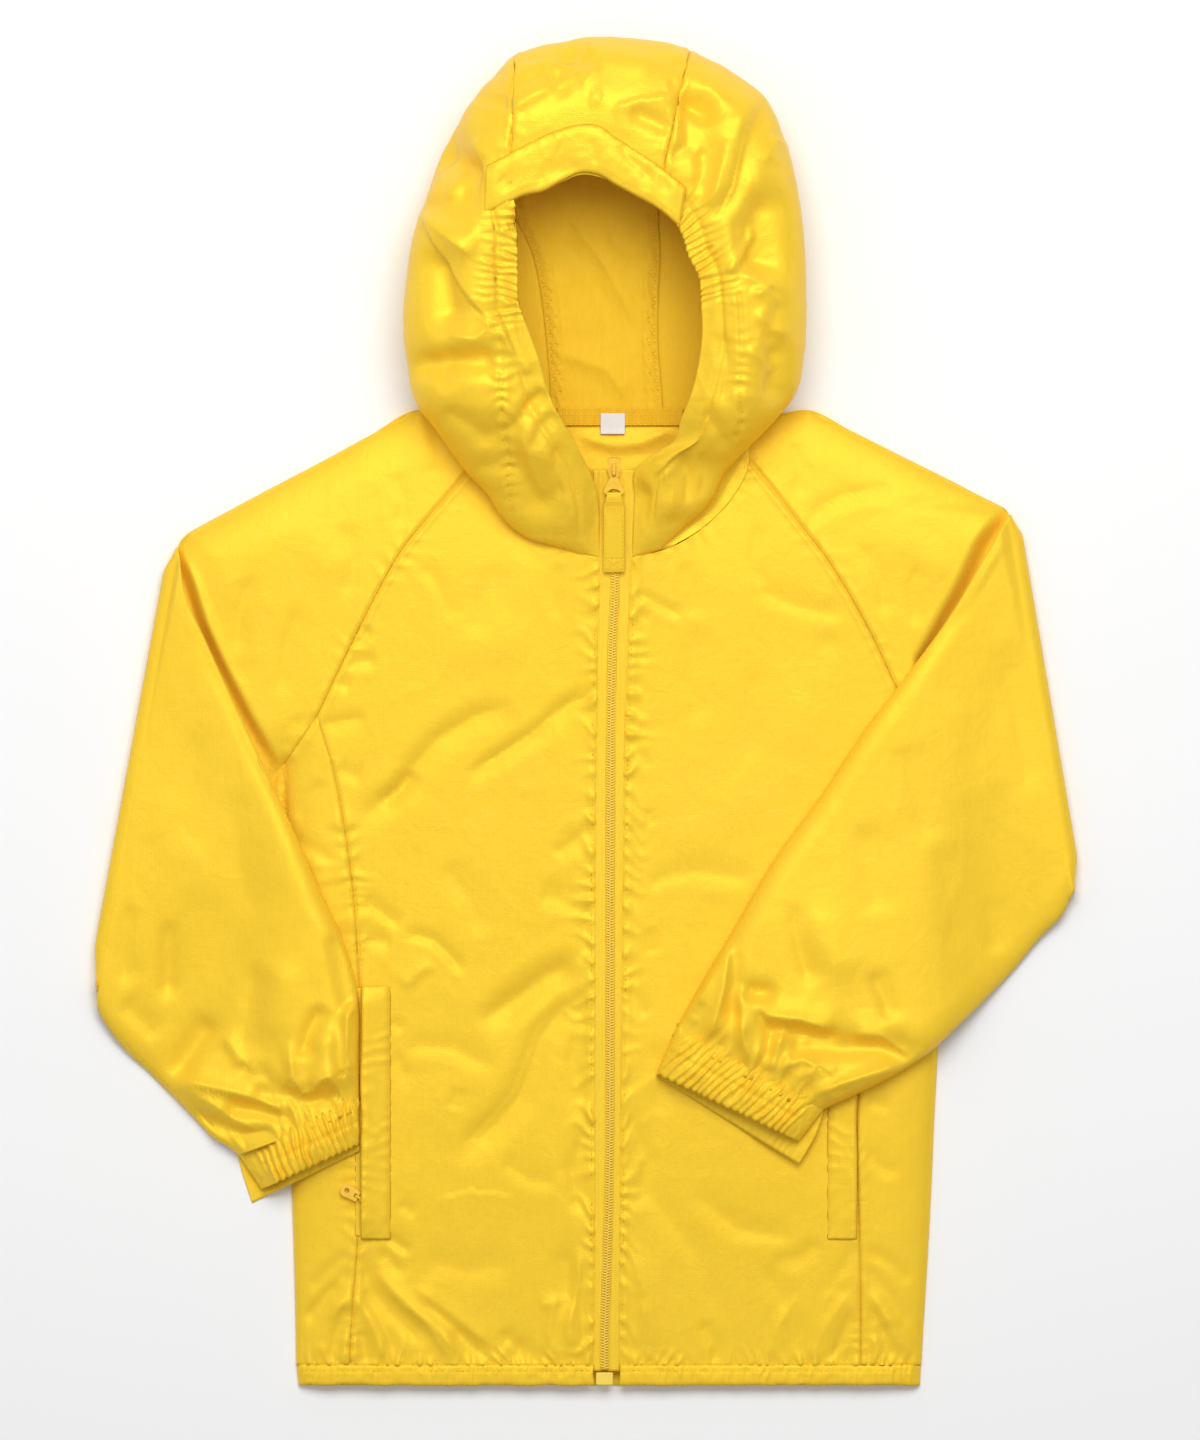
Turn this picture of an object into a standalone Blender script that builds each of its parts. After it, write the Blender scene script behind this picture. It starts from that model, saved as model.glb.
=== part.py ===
"""A child's hooded windbreaker, age 5 to 6, laid flat on its back with both
sleeves folded in over the front.

Plan sizes are read on a chart of 0.55 mm a step: x to the right, y down from
the top of the hood. Heights are in millimetres above the surface it lies on.
The model is in metres, +Z up, the hood towards +Y, origin under the middle.
"""
import bpy
import bmesh
import math
import numpy as np
from mathutils import Matrix, Vector

STEP = 0.00055          # metres for one step of the chart
CHART_X, CHART_Y = 585.26, 711.75   # chart point at the model's origin
MM = 0.001
PLY = 1.0               # wall of one layer of cloth, mm
GAP = 0.3               # air at a seam, mm
EDGE = 2.4              # height of the cloth at a folded side, mm
ROUND = 28.0            # how far in from a folded side the cloth rounds up, mm
FOLD_TOP = 5.0          # height of a sleeve where it turns back, mm
FOLD_AXIS = 5.6         # height of the axis the sleeve turns back round, mm
REST = 1.2              # air under a folded sleeve, mm
HOOD_REST = 0.9         # air under the hood where it lies on the shoulders, mm
HOOD_UNDER = 16.0       # how far in the hood's side turns under, mm
HEM_TOP, HEM_END = 1366.0, 1385.5
BRIM_LIFT = 1.7         # outside of the brim above the hood under it, mm

CLOTH = (1.0, 0.66, 0.045, 1.0)
TRIM = (0.98, 0.62, 0.04, 1.0)

# ---------------------------------------------------------------- tables
# front raglan seam, neck to armpit: x, y; top edge of the sleeve at the same
# section: tx, ty; back raglan seam: bx, by
CAP_LEFT = [
    # x,   y,    tx,   ty,   bx,   by
    (477, 461, 488, 424, 530, 414),
    (452, 490, 455, 417, 498, 447),
    (428, 517, 418, 410, 466, 486),
    (401, 551, 372, 434, 435, 526),
    (376, 595, 328, 458, 404, 568),
    (353, 641, 288, 479, 374, 612),
    (330, 689, 252, 498, 345, 660),
    (317, 716, 226, 512, 322, 697),
    (289, 758, 200, 526, 293, 750),
    (283, 767, 191, 531, 283, 767),
]
CAP_RIGHT = [
    (749, 460, 738, 424, 696, 414),
    (775, 492, 772, 416, 728, 447),
    (800, 524, 808, 410, 760, 486),
    (825, 556, 850, 430, 791, 526),
    (849, 594, 888, 449, 822, 568),
    (872, 636, 920, 465, 852, 612),
    (897, 689, 950, 480, 881, 660),
    (909, 712, 975, 493, 904, 697),
    (937, 755, 997, 504, 933, 750),
    (943, 767, 1003, 507, 943, 767),
]
# sleeve below the armpit. turn: degrees it has turned back; low edge x, y;
# top edge x, y; thick: mm through both plies
SLEEVE_LEFT = [
    # turn, lx,   ly,   ux,   uy,  thick
    (0, 240, 815, 186, 535, 0),
    (0, 190, 873, 182, 539, 0),
    (0, 143, 930, 179.5, 543, 0),
    (0, 97.5, 986, 178, 548, 0),
    (45, 97.5, 986, 178, 548, 5.0),
    (90, 97.5, 986, 178, 548, 5.0),
    (135, 97.5, 986, 178, 548, 5.0),
    (180, 97.5, 986, 178, 548, 5.0),
    (180, 97, 1006, 186, 596, 5.4),
    (180, 108, 1028, 206, 641, 6.0),
    (180, 128, 1053, 231, 696, 7.0),
    (180, 147, 1071, 261, 760, 8.0),
    (180, 164, 1088, 290, 822, 9.0),
    (180, 181, 1105, 320, 890, 10.5),
    (180, 200, 1125, 343, 940, 12.0),
    (180, 214, 1139, 357.5, 990, 12.0),
    (180, 229, 1148, 359.5, 1060, 10.5),
    (180, 236, 1153, 359.5, 1098, 9.0),
]
SLEEVE_RIGHT = [
    (0, 978, 800, 1005, 508.5, 0),
    (0, 1012, 832, 1006.5, 510, 0),
    (0, 1044, 863, 1008, 512, 0),
    (0, 1073, 892, 1009, 515, 0),
    (45, 1073, 892, 1009, 515, 5.0),
    (90, 1073, 892, 1009, 515, 5.0),
    (135, 1073, 892, 1009, 515, 5.0),
    (180, 1073, 892, 1009, 515, 5.0),
    (180, 1063, 914, 984, 558, 5.4),
    (180, 1042, 936, 951, 614, 6.0),
    (180, 1012, 972, 912, 668, 7.0),
    (180, 985, 1000, 866, 728, 8.0),
    (180, 958, 1026, 820, 797, 9.0),
    (180, 931, 1051, 774, 860, 10.5),
    (180, 898, 1073, 734, 928, 12.0),
    (180, 866, 1090, 704, 978, 13.0),
    (180, 842, 1101, 686, 1010, 12.0),
    (180, 825, 1108, 678, 1025, 9.5),
]
# elastic cuffs, seam to mouth. Upper ply low end, upper ply top end, under
# ply low end, under ply top end, thick
CUFF_LEFT = [
    # ulx,  uly,  utx,  uty,  dlx,  dly,  dtx,  dty, thick
    (237, 1154, 359.5, 1099, 237, 1154, 359.5, 1099, 9.0),
    (249, 1172, 359.5, 1121, 243, 1176, 359.5, 1124, 10.5),
    (261, 1190, 359.5, 1144.5, 252, 1203, 359.5, 1151, 9.0),
]
CUFF_RIGHT = [
    (824, 1109.5, 677.2, 1026.3, 824, 1109.5, 677.2, 1026.3, 9.5),
    (812, 1125, 667, 1050, 816, 1134, 667, 1050, 11.0),
    (799, 1141.5, 656.5, 1074, 799, 1164, 656.5, 1076, 9.5),
]
# body: side seam of the front (sx), folded side (ex) at chart height y
SIDE_LEFT = [
    # y,   sx,   ex,   ey
    (716, 317, 283, 767),
    (764, 332, 283.5, 790),
    (825, 344, 284.5, 825),
    (890, 353, 286, 890),
    (963, 358, 288, 963),
    (1040, 361, 290, 1040),
    (1120, 361, 291.5, 1120),
    (1200, 360, 293, 1200),
    (1265, 356, 295, 1265),
    (1330, 351, 296.5, 1330),
    (1365.2, 350, 297, 1365.2),
]
SIDE_RIGHT = [
    (712, 909, 943, 767),
    (764, 897, 942, 790),
    (825, 884, 941, 825),
    (890, 874, 940, 890),
    (963, 868, 939, 963),
    (1040, 862, 937.5, 1040),
    (1120, 857, 933.5, 1120),
    (1200, 858, 930, 1200),
    (1265, 860, 926.5, 1265),
    (1330, 860.5, 922.5, 1330),
    (1365.2, 860.6, 920.5, 1365.2),
]
# neck seam of the front, raglan seam to zip
NECK_LEFT = [(477, 461), (482, 476), (496, 497), (516, 522), (548, 544.5), (598, 557.5)]
NECK_RIGHT = [(749, 460), (740, 481), (722, 509), (700, 530), (672, 547), (632, 557.5)]
# zip: middle x, left and right edge of the tape between the fronts
ZIP = [
    # y,   mid,  left,  right, z mm
    (468, 614.0, 600.5, 633.0, 29.5),
    (500, 613.8, 600.3, 632.5, 25.6),
    (530, 613.8, 600.0, 632.0, 21.9),
    (557, 614.5, 599.8, 631.5, 18.6),
    (590, 615.0, 599.2, 630.0, 16.6),
    (640, 612.5, 598.0, 628.4, 15.0),
    (700, 611.0, 597.0, 626.2, 14.0),
    (764, 610.5, 596.2, 624.3, 13.4),
    (825, 610.2, 595.5, 623.6, 13.0),
    (890, 610.0, 595.0, 623.0, 12.8),
    (963, 610.0, 595.0, 622.3, 12.6),
    (1040, 610.0, 595.0, 621.3, 12.4),
    (1120, 609.8, 595.0, 620.4, 12.0),
    (1200, 609.0, 594.8, 620.0, 11.0),
    (1265, 607.0, 594.4, 619.6, 9.8),
    (1330, 604.6, 593.9, 619.2, 8.6),
    (1371, 604.6, 593.6, 619.0, 7.6),
]
# height of the front away from the zip, mm
FRONT_HEIGHT = [
    # y,  z
    (400, 8.5), (461, 10.5), (500, 12.0), (557, 14.2), (600, 14.0), (700, 13.0),
    (800, 12.2), (900, 11.8), (1040, 11.4), (1150, 10.8), (1250, 9.4),
    (1330, 8.0), (1366, 7.2), (1390, 6.8),
]
# hood side panels. Mouth edge mx, my, mz; crest kz; outline ox, oy, oz; inner
# end (back seam, then neck seam) sx, sy
HOOD_LEFT = [
    # mx,   my,   mz,  kz,   ox,   oy,  oz,   sx,   sy
    (511.5, 203, 73, 75, 514, 56, 34, 514, 86),
    (517.5, 231, 71.5, 75, 485, 88, 34, 514, 112),
    (518, 250, 70, 74, 459, 121, 34, 514, 141),
    (518, 275, 68.5, 74, 440, 156, 34, 514, 176),
    (519, 303, 66, 73, 425, 200, 34, 516, 214),
    (530, 335, 64, 71, 411, 247, 34, 533, 252),
    (540, 362, 62, 69, 404, 305, 33, 543, 300),
    (547, 390, 59, 67, 406.5, 360, 32, 548, 345),
    (557, 413, 56, 64, 417, 404, 31, 551, 384),
    (569, 433, 51, 60, 434, 427, 30, 551, 409),
    (580, 452, 45, 55, 452, 453, 28, 514, 415.5),
    (588, 468, 38, 49, 468, 474, 26, 479, 437),
    (596, 490, 31, 42, 487, 494, 24, 480, 470),
    (599.2, 515, 25.5, 34, 502, 517, 22, 496, 497),
    (599.2, 538, 21.5, 26, 521, 534, 19, 516, 522),
    (599, 556.6, 18.8, 19.6, 565, 549, 17.2, 548, 543.4),
]
HOOD_RIGHT = [
    (656, 205, 73, 75, 690, 51, 34, 688, 81),
    (671, 219, 71.5, 75, 731, 73, 34, 681, 116),
    (681, 236, 70, 74, 763, 98, 34, 673, 150),
    (688, 258, 68.5, 74, 785, 142, 34, 665, 186),
    (698, 278, 66, 73, 798, 190, 34, 657, 222),
    (701, 305, 64, 71, 804.5, 245, 34, 659, 258),
    (702, 334, 62, 69, 806, 300, 33, 657, 305),
    (698, 368, 59, 67, 804.5, 352, 32, 657, 350),
    (690, 398, 56, 64, 794, 398, 31, 660, 386),
    (681, 420, 51, 60, 775, 420, 30, 662, 409),
    (675, 440, 45, 55, 760, 436, 28, 712, 415.5),
    (656, 453, 38, 49, 744, 452, 26, 747, 437),
    (637, 468, 31.5, 42, 727, 469, 24, 748, 461),
    (633.8, 505, 26, 34, 709, 502, 22, 722, 508),
    (633.2, 534, 22, 26, 691, 520, 19.5, 700, 529),
    (632.6, 556.6, 18.8, 19.6, 662, 547, 17.2, 672, 546),
]
# hood centre panel at sections from left to right: mouth edge y, outline y,
# x at mouth, x at outline
HOOD_CENTRE = [
    # mx,  my,   ox,   oy
    (511.5, 203, 514, 56),
    (526, 198, 535, 48.5),
    (544, 194, 557, 43),
    (563, 184, 579, 39.5),
    (582, 177, 602, 38),
    (601, 180, 625, 39),
    (620, 189, 648, 41.5),
    (638, 200, 670, 45),
    (656, 205, 690, 51),
]
# back seams of the hood on the surface: x left, x right at y
HOOD_BACK = [
    # y,   left, right
    (56, 514, 690),
    (86, 514, 688),
    (141, 514, 674),
    (214, 516, 657.5),
    (252, 533, 659),
    (300, 543, 657),
    (345, 548, 657),
    (384, 551, 660),
    (411.4, 552, 662),
]
# brim: lower edge and top seam
BRIM = [
    # lx,  ly,   tx,   ty
    (484, 217, 487, 168),
    (507, 206, 506, 158),
    (525, 198, 524, 148),
    (544, 194, 543, 138.5),
    (562, 184, 560, 132),
    (580, 176, 577, 127.5),
    (597, 177.5, 597, 127.5),
    (616, 188, 617, 141),
    (636, 199, 636, 153),
    (656, 210, 657, 167),
    (679, 229, 686, 190),
]


# ---------------------------------------------------------------- helpers
def smooth(t):
    t = min(1.0, max(0.0, t))
    return t * t * (3 - 2 * t)


def dome(t):
    """0 at an edge, 1 from t = 1 on, upright at the edge."""
    t = min(1.0, max(0.0, t))
    return math.sqrt(1 - (1 - t) ** 2)


def table_at(rows, key, t, col):
    """Value of a column where the key column is t, straight between rows."""
    if t <= rows[0][key]:
        return rows[0][col]
    for a, b in zip(rows, rows[1:]):
        if t <= b[key]:
            return a[col] + (b[col] - a[col]) * (t - a[key]) / (b[key] - a[key])
    return rows[-1][col]


def lerp(a, b, t):
    return a + (b - a) * t


def seg_dist(x, y, a, b):
    ax, ay, bx, by = a[0], a[1], b[0], b[1]
    dx, dy = bx - ax, by - ay
    t = ((x - ax) * dx + (y - ay) * dy) / (dx * dx + dy * dy)
    t = min(1.0, max(0.0, t))
    return math.hypot(x - ax - dx * t, y - ay - dy * t)


def line_dist(x, y, line):
    """Distance to a run of points, mm."""
    return min(seg_dist(x, y, a, b) for a, b in zip(line, line[1:])) * STEP / MM


def side_dist(x, y, line):
    """Signed distance to a run of points, mm, positive on its left going along it."""
    best = None
    for a, b in zip(line, line[1:]):
        d = seg_dist(x, y, a, b)
        if best is None or d < best[0] - 1e-9:
            cross = (b[0] - a[0]) * (y - a[1]) - (b[1] - a[1]) * (x - a[0])
            best = (d, -1 if cross > 0 else 1)
    return best[0] * best[1] * STEP / MM


def inside(x, y, ring):
    odd = False
    for a, b in zip(ring, ring[1:] + ring[:1]):
        if (a[1] > y) != (b[1] > y):
            if x < (b[0] - a[0]) * (y - a[1]) / (b[1] - a[1]) + a[0]:
                odd = not odd
    return odd


def place(x, y, z):
    """Chart point and height in mm to model metres."""
    return Vector(((x - CHART_X) * STEP, (CHART_Y - y) * STEP, z * MM))


# ---------------------------------------------------------------- the lie of the cloth
TOP_EDGE_LEFT = [(r[2], r[3]) for r in CAP_LEFT] + [(178, 548)]
TOP_EDGE_RIGHT = [(r[2], r[3]) for r in CAP_RIGHT] + [(1009, 515)]
LOW_EDGE_LEFT = [(97.5, 986), (283, 767)] + [(r[2], r[3]) for r in SIDE_LEFT[1:]] + [(297.5, 1390)]
LOW_EDGE_RIGHT = [(1073, 892), (943, 767)] + [(r[2], r[3]) for r in SIDE_RIGHT[1:]] + [(919.5, 1390)]
ROUND_LEFT = [TOP_EDGE_LEFT, LOW_EDGE_LEFT]
ROUND_RIGHT = [TOP_EDGE_RIGHT, LOW_EDGE_RIGHT]
# lines where the sleeve's front dips to the fold, shoulder to armpit
DIP_LEFT = [(170, 546), (223, 660), (253, 718), (282, 767), (284, 801), (290, 1040), (297, 1400)]
DIP_RIGHT = [(1013, 508), (985, 545), (945, 610), (918, 660), (925, 720), (943, 767), (941, 801), (937, 1040), (919, 1400)]
UNDER = (
    [(r[2], r[3]) for r in CAP_LEFT] + [(178, 548), (92, 986)]
    + LOW_EDGE_LEFT[1:] + list(reversed(LOW_EDGE_RIGHT[1:]))
    + [(1078, 892), (1009, 515)] + [(r[2], r[3]) for r in reversed(CAP_RIGHT)]
    + NECK_RIGHT + list(reversed(NECK_LEFT))
)


def plateau(x, y, early=0.0):
    """Height of the body and of the sleeves' fronts, away from folded sides."""
    h = table_at(FRONT_HEIGHT, 0, y, 1)
    mid = table_at(ZIP, 0, y, 1)
    near = 1 - smooth(abs(x - mid) / 95.0)
    h = lerp(h, table_at(ZIP, 0, max(y, 557), 4), near)
    if x < 400:
        d = side_dist(x, y, DIP_LEFT)
        h = lerp(FOLD_TOP, h, smooth((d + early + 1.5) / 7.0))
    if x > 830:
        d = -side_dist(x, y, DIP_RIGHT)
        h = lerp(FOLD_TOP, h, smooth((d + early + 1.5) / 9.0))
    return h


def front_top(x, y):
    """Outside of the upper layer of the body and of the sleeves up to the fold."""
    runs = ROUND_LEFT if x < 613 else ROUND_RIGHT
    d = min(line_dist(x, y, run) for run in runs)
    return EDGE + (plateau(x, y) - EDGE) * dome(d / ROUND)


def bearing(x, y, air, reach):
    """Underside of something that lies over the body, mm; it falls to the
    surface within reach mm of the body's edge."""
    h = plateau(x, y, 16.0) + air
    # over the right pocket's welt
    h += 2.6 * smooth((110 - abs(x - 842)) / 40.0) * smooth((y - 850) / 60.0) * smooth((1340 - y) / 40.0)
    if inside(x, y, UNDER):
        return h
    return h * (1 - smooth(line_dist(x, y, UNDER + UNDER[:1]) / reach))


# ---------------------------------------------------------------- scene objects
for old in list(bpy.data.objects):
    bpy.data.objects.remove(old, do_unlink=True)
windbreaker = bpy.data.collections.new("windbreaker")
bpy.context.scene.collection.children.link(windbreaker)
cutters = bpy.data.collections.new("cutters")
bpy.context.scene.collection.children.link(cutters)


def material(name, colour, rough, metal=0.0):
    m = bpy.data.materials.new(name)
    m.use_nodes = True
    p = m.node_tree.nodes["Principled BSDF"]
    p.inputs["Base Color"].default_value = colour
    p.inputs["Roughness"].default_value = rough
    p.inputs["Metallic"].default_value = metal
    m.diffuse_color = colour
    return m


def finish(obj, colour=CLOTH, rough=0.42, home=None):
    obj.data.materials.append(material(obj.name, colour, rough))
    (home or windbreaker).objects.link(obj)
    return obj


def sheet(name, rows, up_face, thick=PLY, colour=CLOTH, rough=0.42):
    """Cloth through a grid of outside points. None leaves a cell out. up_face
    is (row, column, sign): the side that faces out there points to sign in z."""
    bm = bmesh.new()
    grid = [[bm.verts.new(p) if p is not None else None for p in row] for row in rows]
    faces = {}
    for i in range(len(grid) - 1):
        for j in range(len(grid[i]) - 1):
            corners = (grid[i][j], grid[i][j + 1], grid[i + 1][j + 1], grid[i + 1][j])
            if all(corners):
                faces[i, j] = bm.faces.new(corners)
    bm.normal_update()
    i, j, sign = up_face
    if faces[i, j].normal.z * sign < 0:
        bmesh.ops.reverse_faces(bm, faces=list(bm.faces))
    for v in list(bm.verts):
        if not v.link_faces:
            bm.verts.remove(v)
    mesh = bpy.data.meshes.new(name)
    bm.to_mesh(mesh)
    bm.free()
    obj = bpy.data.objects.new(name, mesh)
    wall = obj.modifiers.new("wall", "SOLIDIFY")
    wall.thickness = thick * MM
    wall.offset = -1
    wall.use_even_offset = False
    mesh.shade_smooth()
    return finish(obj, colour, rough)


# ---------------------------------------------------------------- body
def span(a, b, fractions):
    return [(lerp(a[0], b[0], f), lerp(a[1], b[1], f)) for f in fractions]


SEAM = 0.42      # half the air at a slanting seam, chart steps
ACROSS = [0, 0.12, 0.28, 0.5, 0.72, 0.88, 1.0]


def front(name, cap, neck, side, zip_col, sgn):
    """One front: rows from the raglan or side seam to the neck or zip."""
    starts = [(r[0], r[1]) for r in cap[:8]] + [(r[1], r[0]) for r in side[1:]]
    stops = list(neck)
    for y in (600, 655):
        stops.append((table_at(ZIP, 0, y, zip_col), y))
    stops += [(table_at(ZIP, 0, r[0], zip_col), r[0]) for r in side[1:]]
    rows = []
    for k, (a, b) in enumerate(zip(starts, stops)):
        a = (a[0] + SEAM * sgn, a[1] + (SEAM if k == 0 else 0))
        b = (b[0] - 0.5 * sgn, b[1] + (1.0 if k < 6 else 0))
        rows.append([place(x, y, front_top(x, y)) for x, y in span(a, b, ACROSS)])
    return sheet(name, rows, (10, 3, 1))


front("front_left", CAP_LEFT, NECK_LEFT, SIDE_LEFT, 2, 1)
front("front_right", CAP_RIGHT, NECK_RIGHT, SIDE_RIGHT, 3, -1)


def back_panel():
    """The back lies on the surface and wraps round each side to the front."""
    under = [0.012, 0.1, 0.3, 0.5, 0.7, 0.9, 0.988]
    rows = []
    for k in range(9):
        a = (CAP_LEFT[k][4] + SEAM, CAP_LEFT[k][5] + (1.0 if k == 0 else 0))
        b = (CAP_RIGHT[k][4] - SEAM, CAP_RIGHT[k][5] + (1.0 if k == 0 else 0))
        pts = span(a, b, [0] + under + [1])
        rows.append([None] * 4 + [place(x, y, 0) for x, y in pts] + [None] * 4)
    for left, right in zip(SIDE_LEFT, SIDE_RIGHT):
        first = left is SIDE_LEFT[0]
        drop = 0.7 if first else 0.0
        row = []
        fl = (left[1] - SEAM, left[0] + drop)
        el = (left[2], left[3] + drop)
        fr = (right[1] + SEAM, right[0] + drop)
        er = (right[2], right[3] + drop)
        for x, y in span(fl, el, [0, 0.4, 0.75, 0.94]):
            row.append(place(x, y, front_top(x, y)))
        row.append(place(el[0], el[1], 1.7))
        row += [place(x, y, 0) for x, y in span(el, er, under)]
        row.append(place(er[0], er[1], 1.7))
        for x, y in span(er, fr, [0.06, 0.25, 0.6, 1]):
            row.append(place(x, y, front_top(x, y)))
        rows.append(row)
    return sheet("back", rows, (12, 7, -1))


back_panel()


def hem():
    """Elastic binding round the hem, open at the zip."""
    rows = []
    for y in (HEM_TOP, 0.5 * (HEM_TOP + HEM_END), HEM_END):
        zl, zr = 593.4, 619.8
        el, er = 297.3 + (y - HEM_TOP) * 0.1, 920.2 - (y - HEM_TOP) * 0.05
        row = [place(x, y, front_top(x, y) + 0.2) for x, _ in span((zl, y), (el, y), [0, 0.25, 0.5, 0.75, 0.9, 0.98])]
        row.append(place(el - 0.3, y, 1.7))
        row += [place(x, y, 0) for x, _ in span((el, y), (er, y), [0.012, 0.2, 0.5, 0.8, 0.988])]
        row.append(place(er + 0.3, y, 1.7))
        row += [place(x, y, front_top(x, y) + 0.2) for x, _ in span((er, y), (zr, y), [0.02, 0.1, 0.25, 0.5, 0.75, 1])]
        rows.append(row)
    return sheet("hem_binding", rows, (0, 2, 1), thick=1.2, colour=TRIM)


hem()


# ---------------------------------------------------------------- sleeves
ROUND_C = [0, 0.1, 0.32, 0.6, 0.84, 0.96]     # low edge to top edge


def ring_heights(c, width, low, top):
    """Heights of the two plies of a flattened tube whose plies are low and
    top in its middle: closed up at both edges."""
    rise = min(1.0, max(0.0, c * width / 14.0))
    fall = dome((1 - c) * width / 14.0)
    ply = PLY * 2 + 0.4
    t = ply + (top - low - ply) * min(dome(rise), 1.0)
    t = lerp(0.8 * ply, t, fall)
    return t


def sleeve(name, cap, table, fold_out):
    """One flattened tube, seam to cuff, turned back over itself at the fold."""
    rows = []
    for k, r in enumerate(cap):
        first = k == 0
        s = SEAM if fold_out > 0 else -SEAM
        p0 = (r[0] - s, r[1])
        p1 = (r[2] - (0.6 * s if first else 0), r[3])
        p2 = (r[4] - s, r[5] + (0.6 if first else 0))
        row = [place(x, y, front_top(x, y)) for x, y in span(p0, p1, ROUND_C)]
        row.append(place(p1[0], p1[1], 1.5))
        row += [place(x, y, 0) for x, y in span(p1, p2, [0.05, 0.2, 0.45, 0.7, 0.9, 1])]
        rows.append(row)
    for turn, lx, ly, ux, uy, thick in table:
        low, up = (lx, ly), (ux, uy)
        width = math.dist(low, up) * STEP / MM
        # outward normal of the fold line in the chart
        n = ((uy - ly) / math.dist(low, up) * -fold_out, (ux - lx) / math.dist(low, up) * fold_out)
        if n[0] * fold_out > 0:
            n = (-n[0], -n[1])
        row = []
        faces = [(c, 1) for c in ROUND_C] + [(1.0, 0)] + [(c, -1) for c in reversed(ROUND_C)]
        for c, face in faces:
            x, y = lerp(lx, ux, c), lerp(ly, uy, c)
            if turn == 0:
                z = front_top(x, y) if face > 0 else (0.0 if face < 0 else 1.5)
                row.append(place(x, y, z))
            elif turn < 180 or thick == 5.0 and turn == 180:
                flat_x, flat_y = x, y
                top = min(front_top(flat_x, flat_y), FOLD_TOP)
                local = top if face > 0 else (0.0 if face < 0 else 1.5)
                reach = FOLD_AXIS - local
                a = math.radians(turn)
                off = reach * math.sin(a) * MM / STEP
                row.append(place(x + n[0] * off, y + n[1] * off, FOLD_AXIS - reach * math.cos(a)))
            else:
                base = bearing(x, y, REST, 20.0)
                t = ring_heights(c, width, 0, thick)
                if face > 0:
                    row.append(place(x, y, base))
                elif face < 0:
                    row.append(place(x, y, base + t))
                else:
                    row.append(place(x, y, base + 0.4 * t))
        rows.append(row)
    return sheet(name, rows, (3, 2, 1))


sleeve("sleeve_left", CAP_LEFT, SLEEVE_LEFT, 1)
sleeve("sleeve_right", CAP_RIGHT, SLEEVE_RIGHT, -1)


def cuff(name, table, sgn):
    """Elastic band at the wrist: two plies, the mouth open."""
    rows = []
    for ulx, uly, utx, uty, dlx, dly, dtx, dty, thick in table:
        width = math.dist((ulx, uly), (utx, uty)) * STEP / MM
        row = []
        for c in ROUND_C:
            x, y = lerp(dlx, dtx, c), lerp(dly, dty, c)
            row.append(place(x, y, bearing(x, y, REST, 20.0)))
        x, y = 0.5 * (utx + dtx), 0.5 * (uty + dty)
        row.append(place(x, y, bearing(x, y, REST, 20.0) + 0.4 * ring_heights(1, width, 0, thick)))
        for c in reversed(ROUND_C):
            x, y = lerp(ulx, utx, c), lerp(uly, uty, c)
            row.append(place(x, y, bearing(x, y, REST, 20.0) + ring_heights(c, width, 0, thick)))
        rows.append(row)
    return sheet(name, rows, (0, 2, -1), colour=TRIM)


cuff("cuff_left", CUFF_LEFT, 1)
cuff("cuff_right", CUFF_RIGHT, -1)


# ---------------------------------------------------------------- hood
FLAT_PART = [0, 0.3, 0.65]               # mouth edge to where the side rounds down
OVER = [90, 68, 46, 23, 0]               # degrees round the upper quarter
UNDERTURN = [25, 55, 90]                 # degrees round the lower quarter
FLOOR_PART = [0.5, 1.0]


def hood_run(m, mz, kz, o, oz, s):
    """One section of the hood: mouth edge, crest, outline, underside."""
    length = math.dist(m, o) * STEP / MM
    r = min(42.0, 0.62 * length)
    pts = []
    for f in FLAT_PART:
        a = f * (1 - r / length)
        x, y = lerp(m[0], o[0], a), lerp(m[1], o[1], a)
        pts.append((x, y, lerp(mz, kz, smooth(f * 1.15 + 0.05 if f else 0))))
    for deg in OVER:
        t = math.radians(deg)
        a = 1 - r * (1 - math.cos(t)) / length
        x, y = lerp(m[0], o[0], a), lerp(m[1], o[1], a)
        pts.append((x, y, oz + (kz - oz) * math.sin(t)))
    under = math.dist(o, s) * STEP / MM
    r2 = min(HOOD_UNDER, 0.85 * under)
    for deg in UNDERTURN:
        t = math.radians(deg)
        a = r2 * (1 - math.cos(t)) / under
        x, y = lerp(o[0], s[0], a), lerp(o[1], s[1], a)
        zf = bearing(x, y, HOOD_REST, 20.0)
        pts.append((x, y, zf + (oz - zf) * (1 - math.sin(t))))
    for f in FLOOR_PART:
        a = lerp(r2 / under, 1, f)
        x, y = lerp(o[0], s[0], a), lerp(o[1], s[1], a)
        pts.append((x, y, bearing(x, y, HOOD_REST, 20.0)))
    return pts


def hood_side(name, table, sgn):
    rows = []
    for k, (mx, my, mz, kz, ox, oy, oz, sx, sy) in enumerate(table):
        pts = hood_run((mx, my), mz, kz, (ox, oy), oz, (sx, sy))
        shift = (-1.3 if k == 0 else -0.55) * sgn if k <= 9 else 0.0
        row = []
        for j, (x, y, z) in enumerate(pts):
            move = shift if (k == 0 or j >= len(pts) - 2) else 0.0
            row.append(place(x + move, y, z))
        rows.append(row)
    return sheet(name, rows, (7, 1, 1))


hood_side("hood_side_left", HOOD_LEFT, 1)
hood_side("hood_side_right", HOOD_RIGHT, -1)


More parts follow.
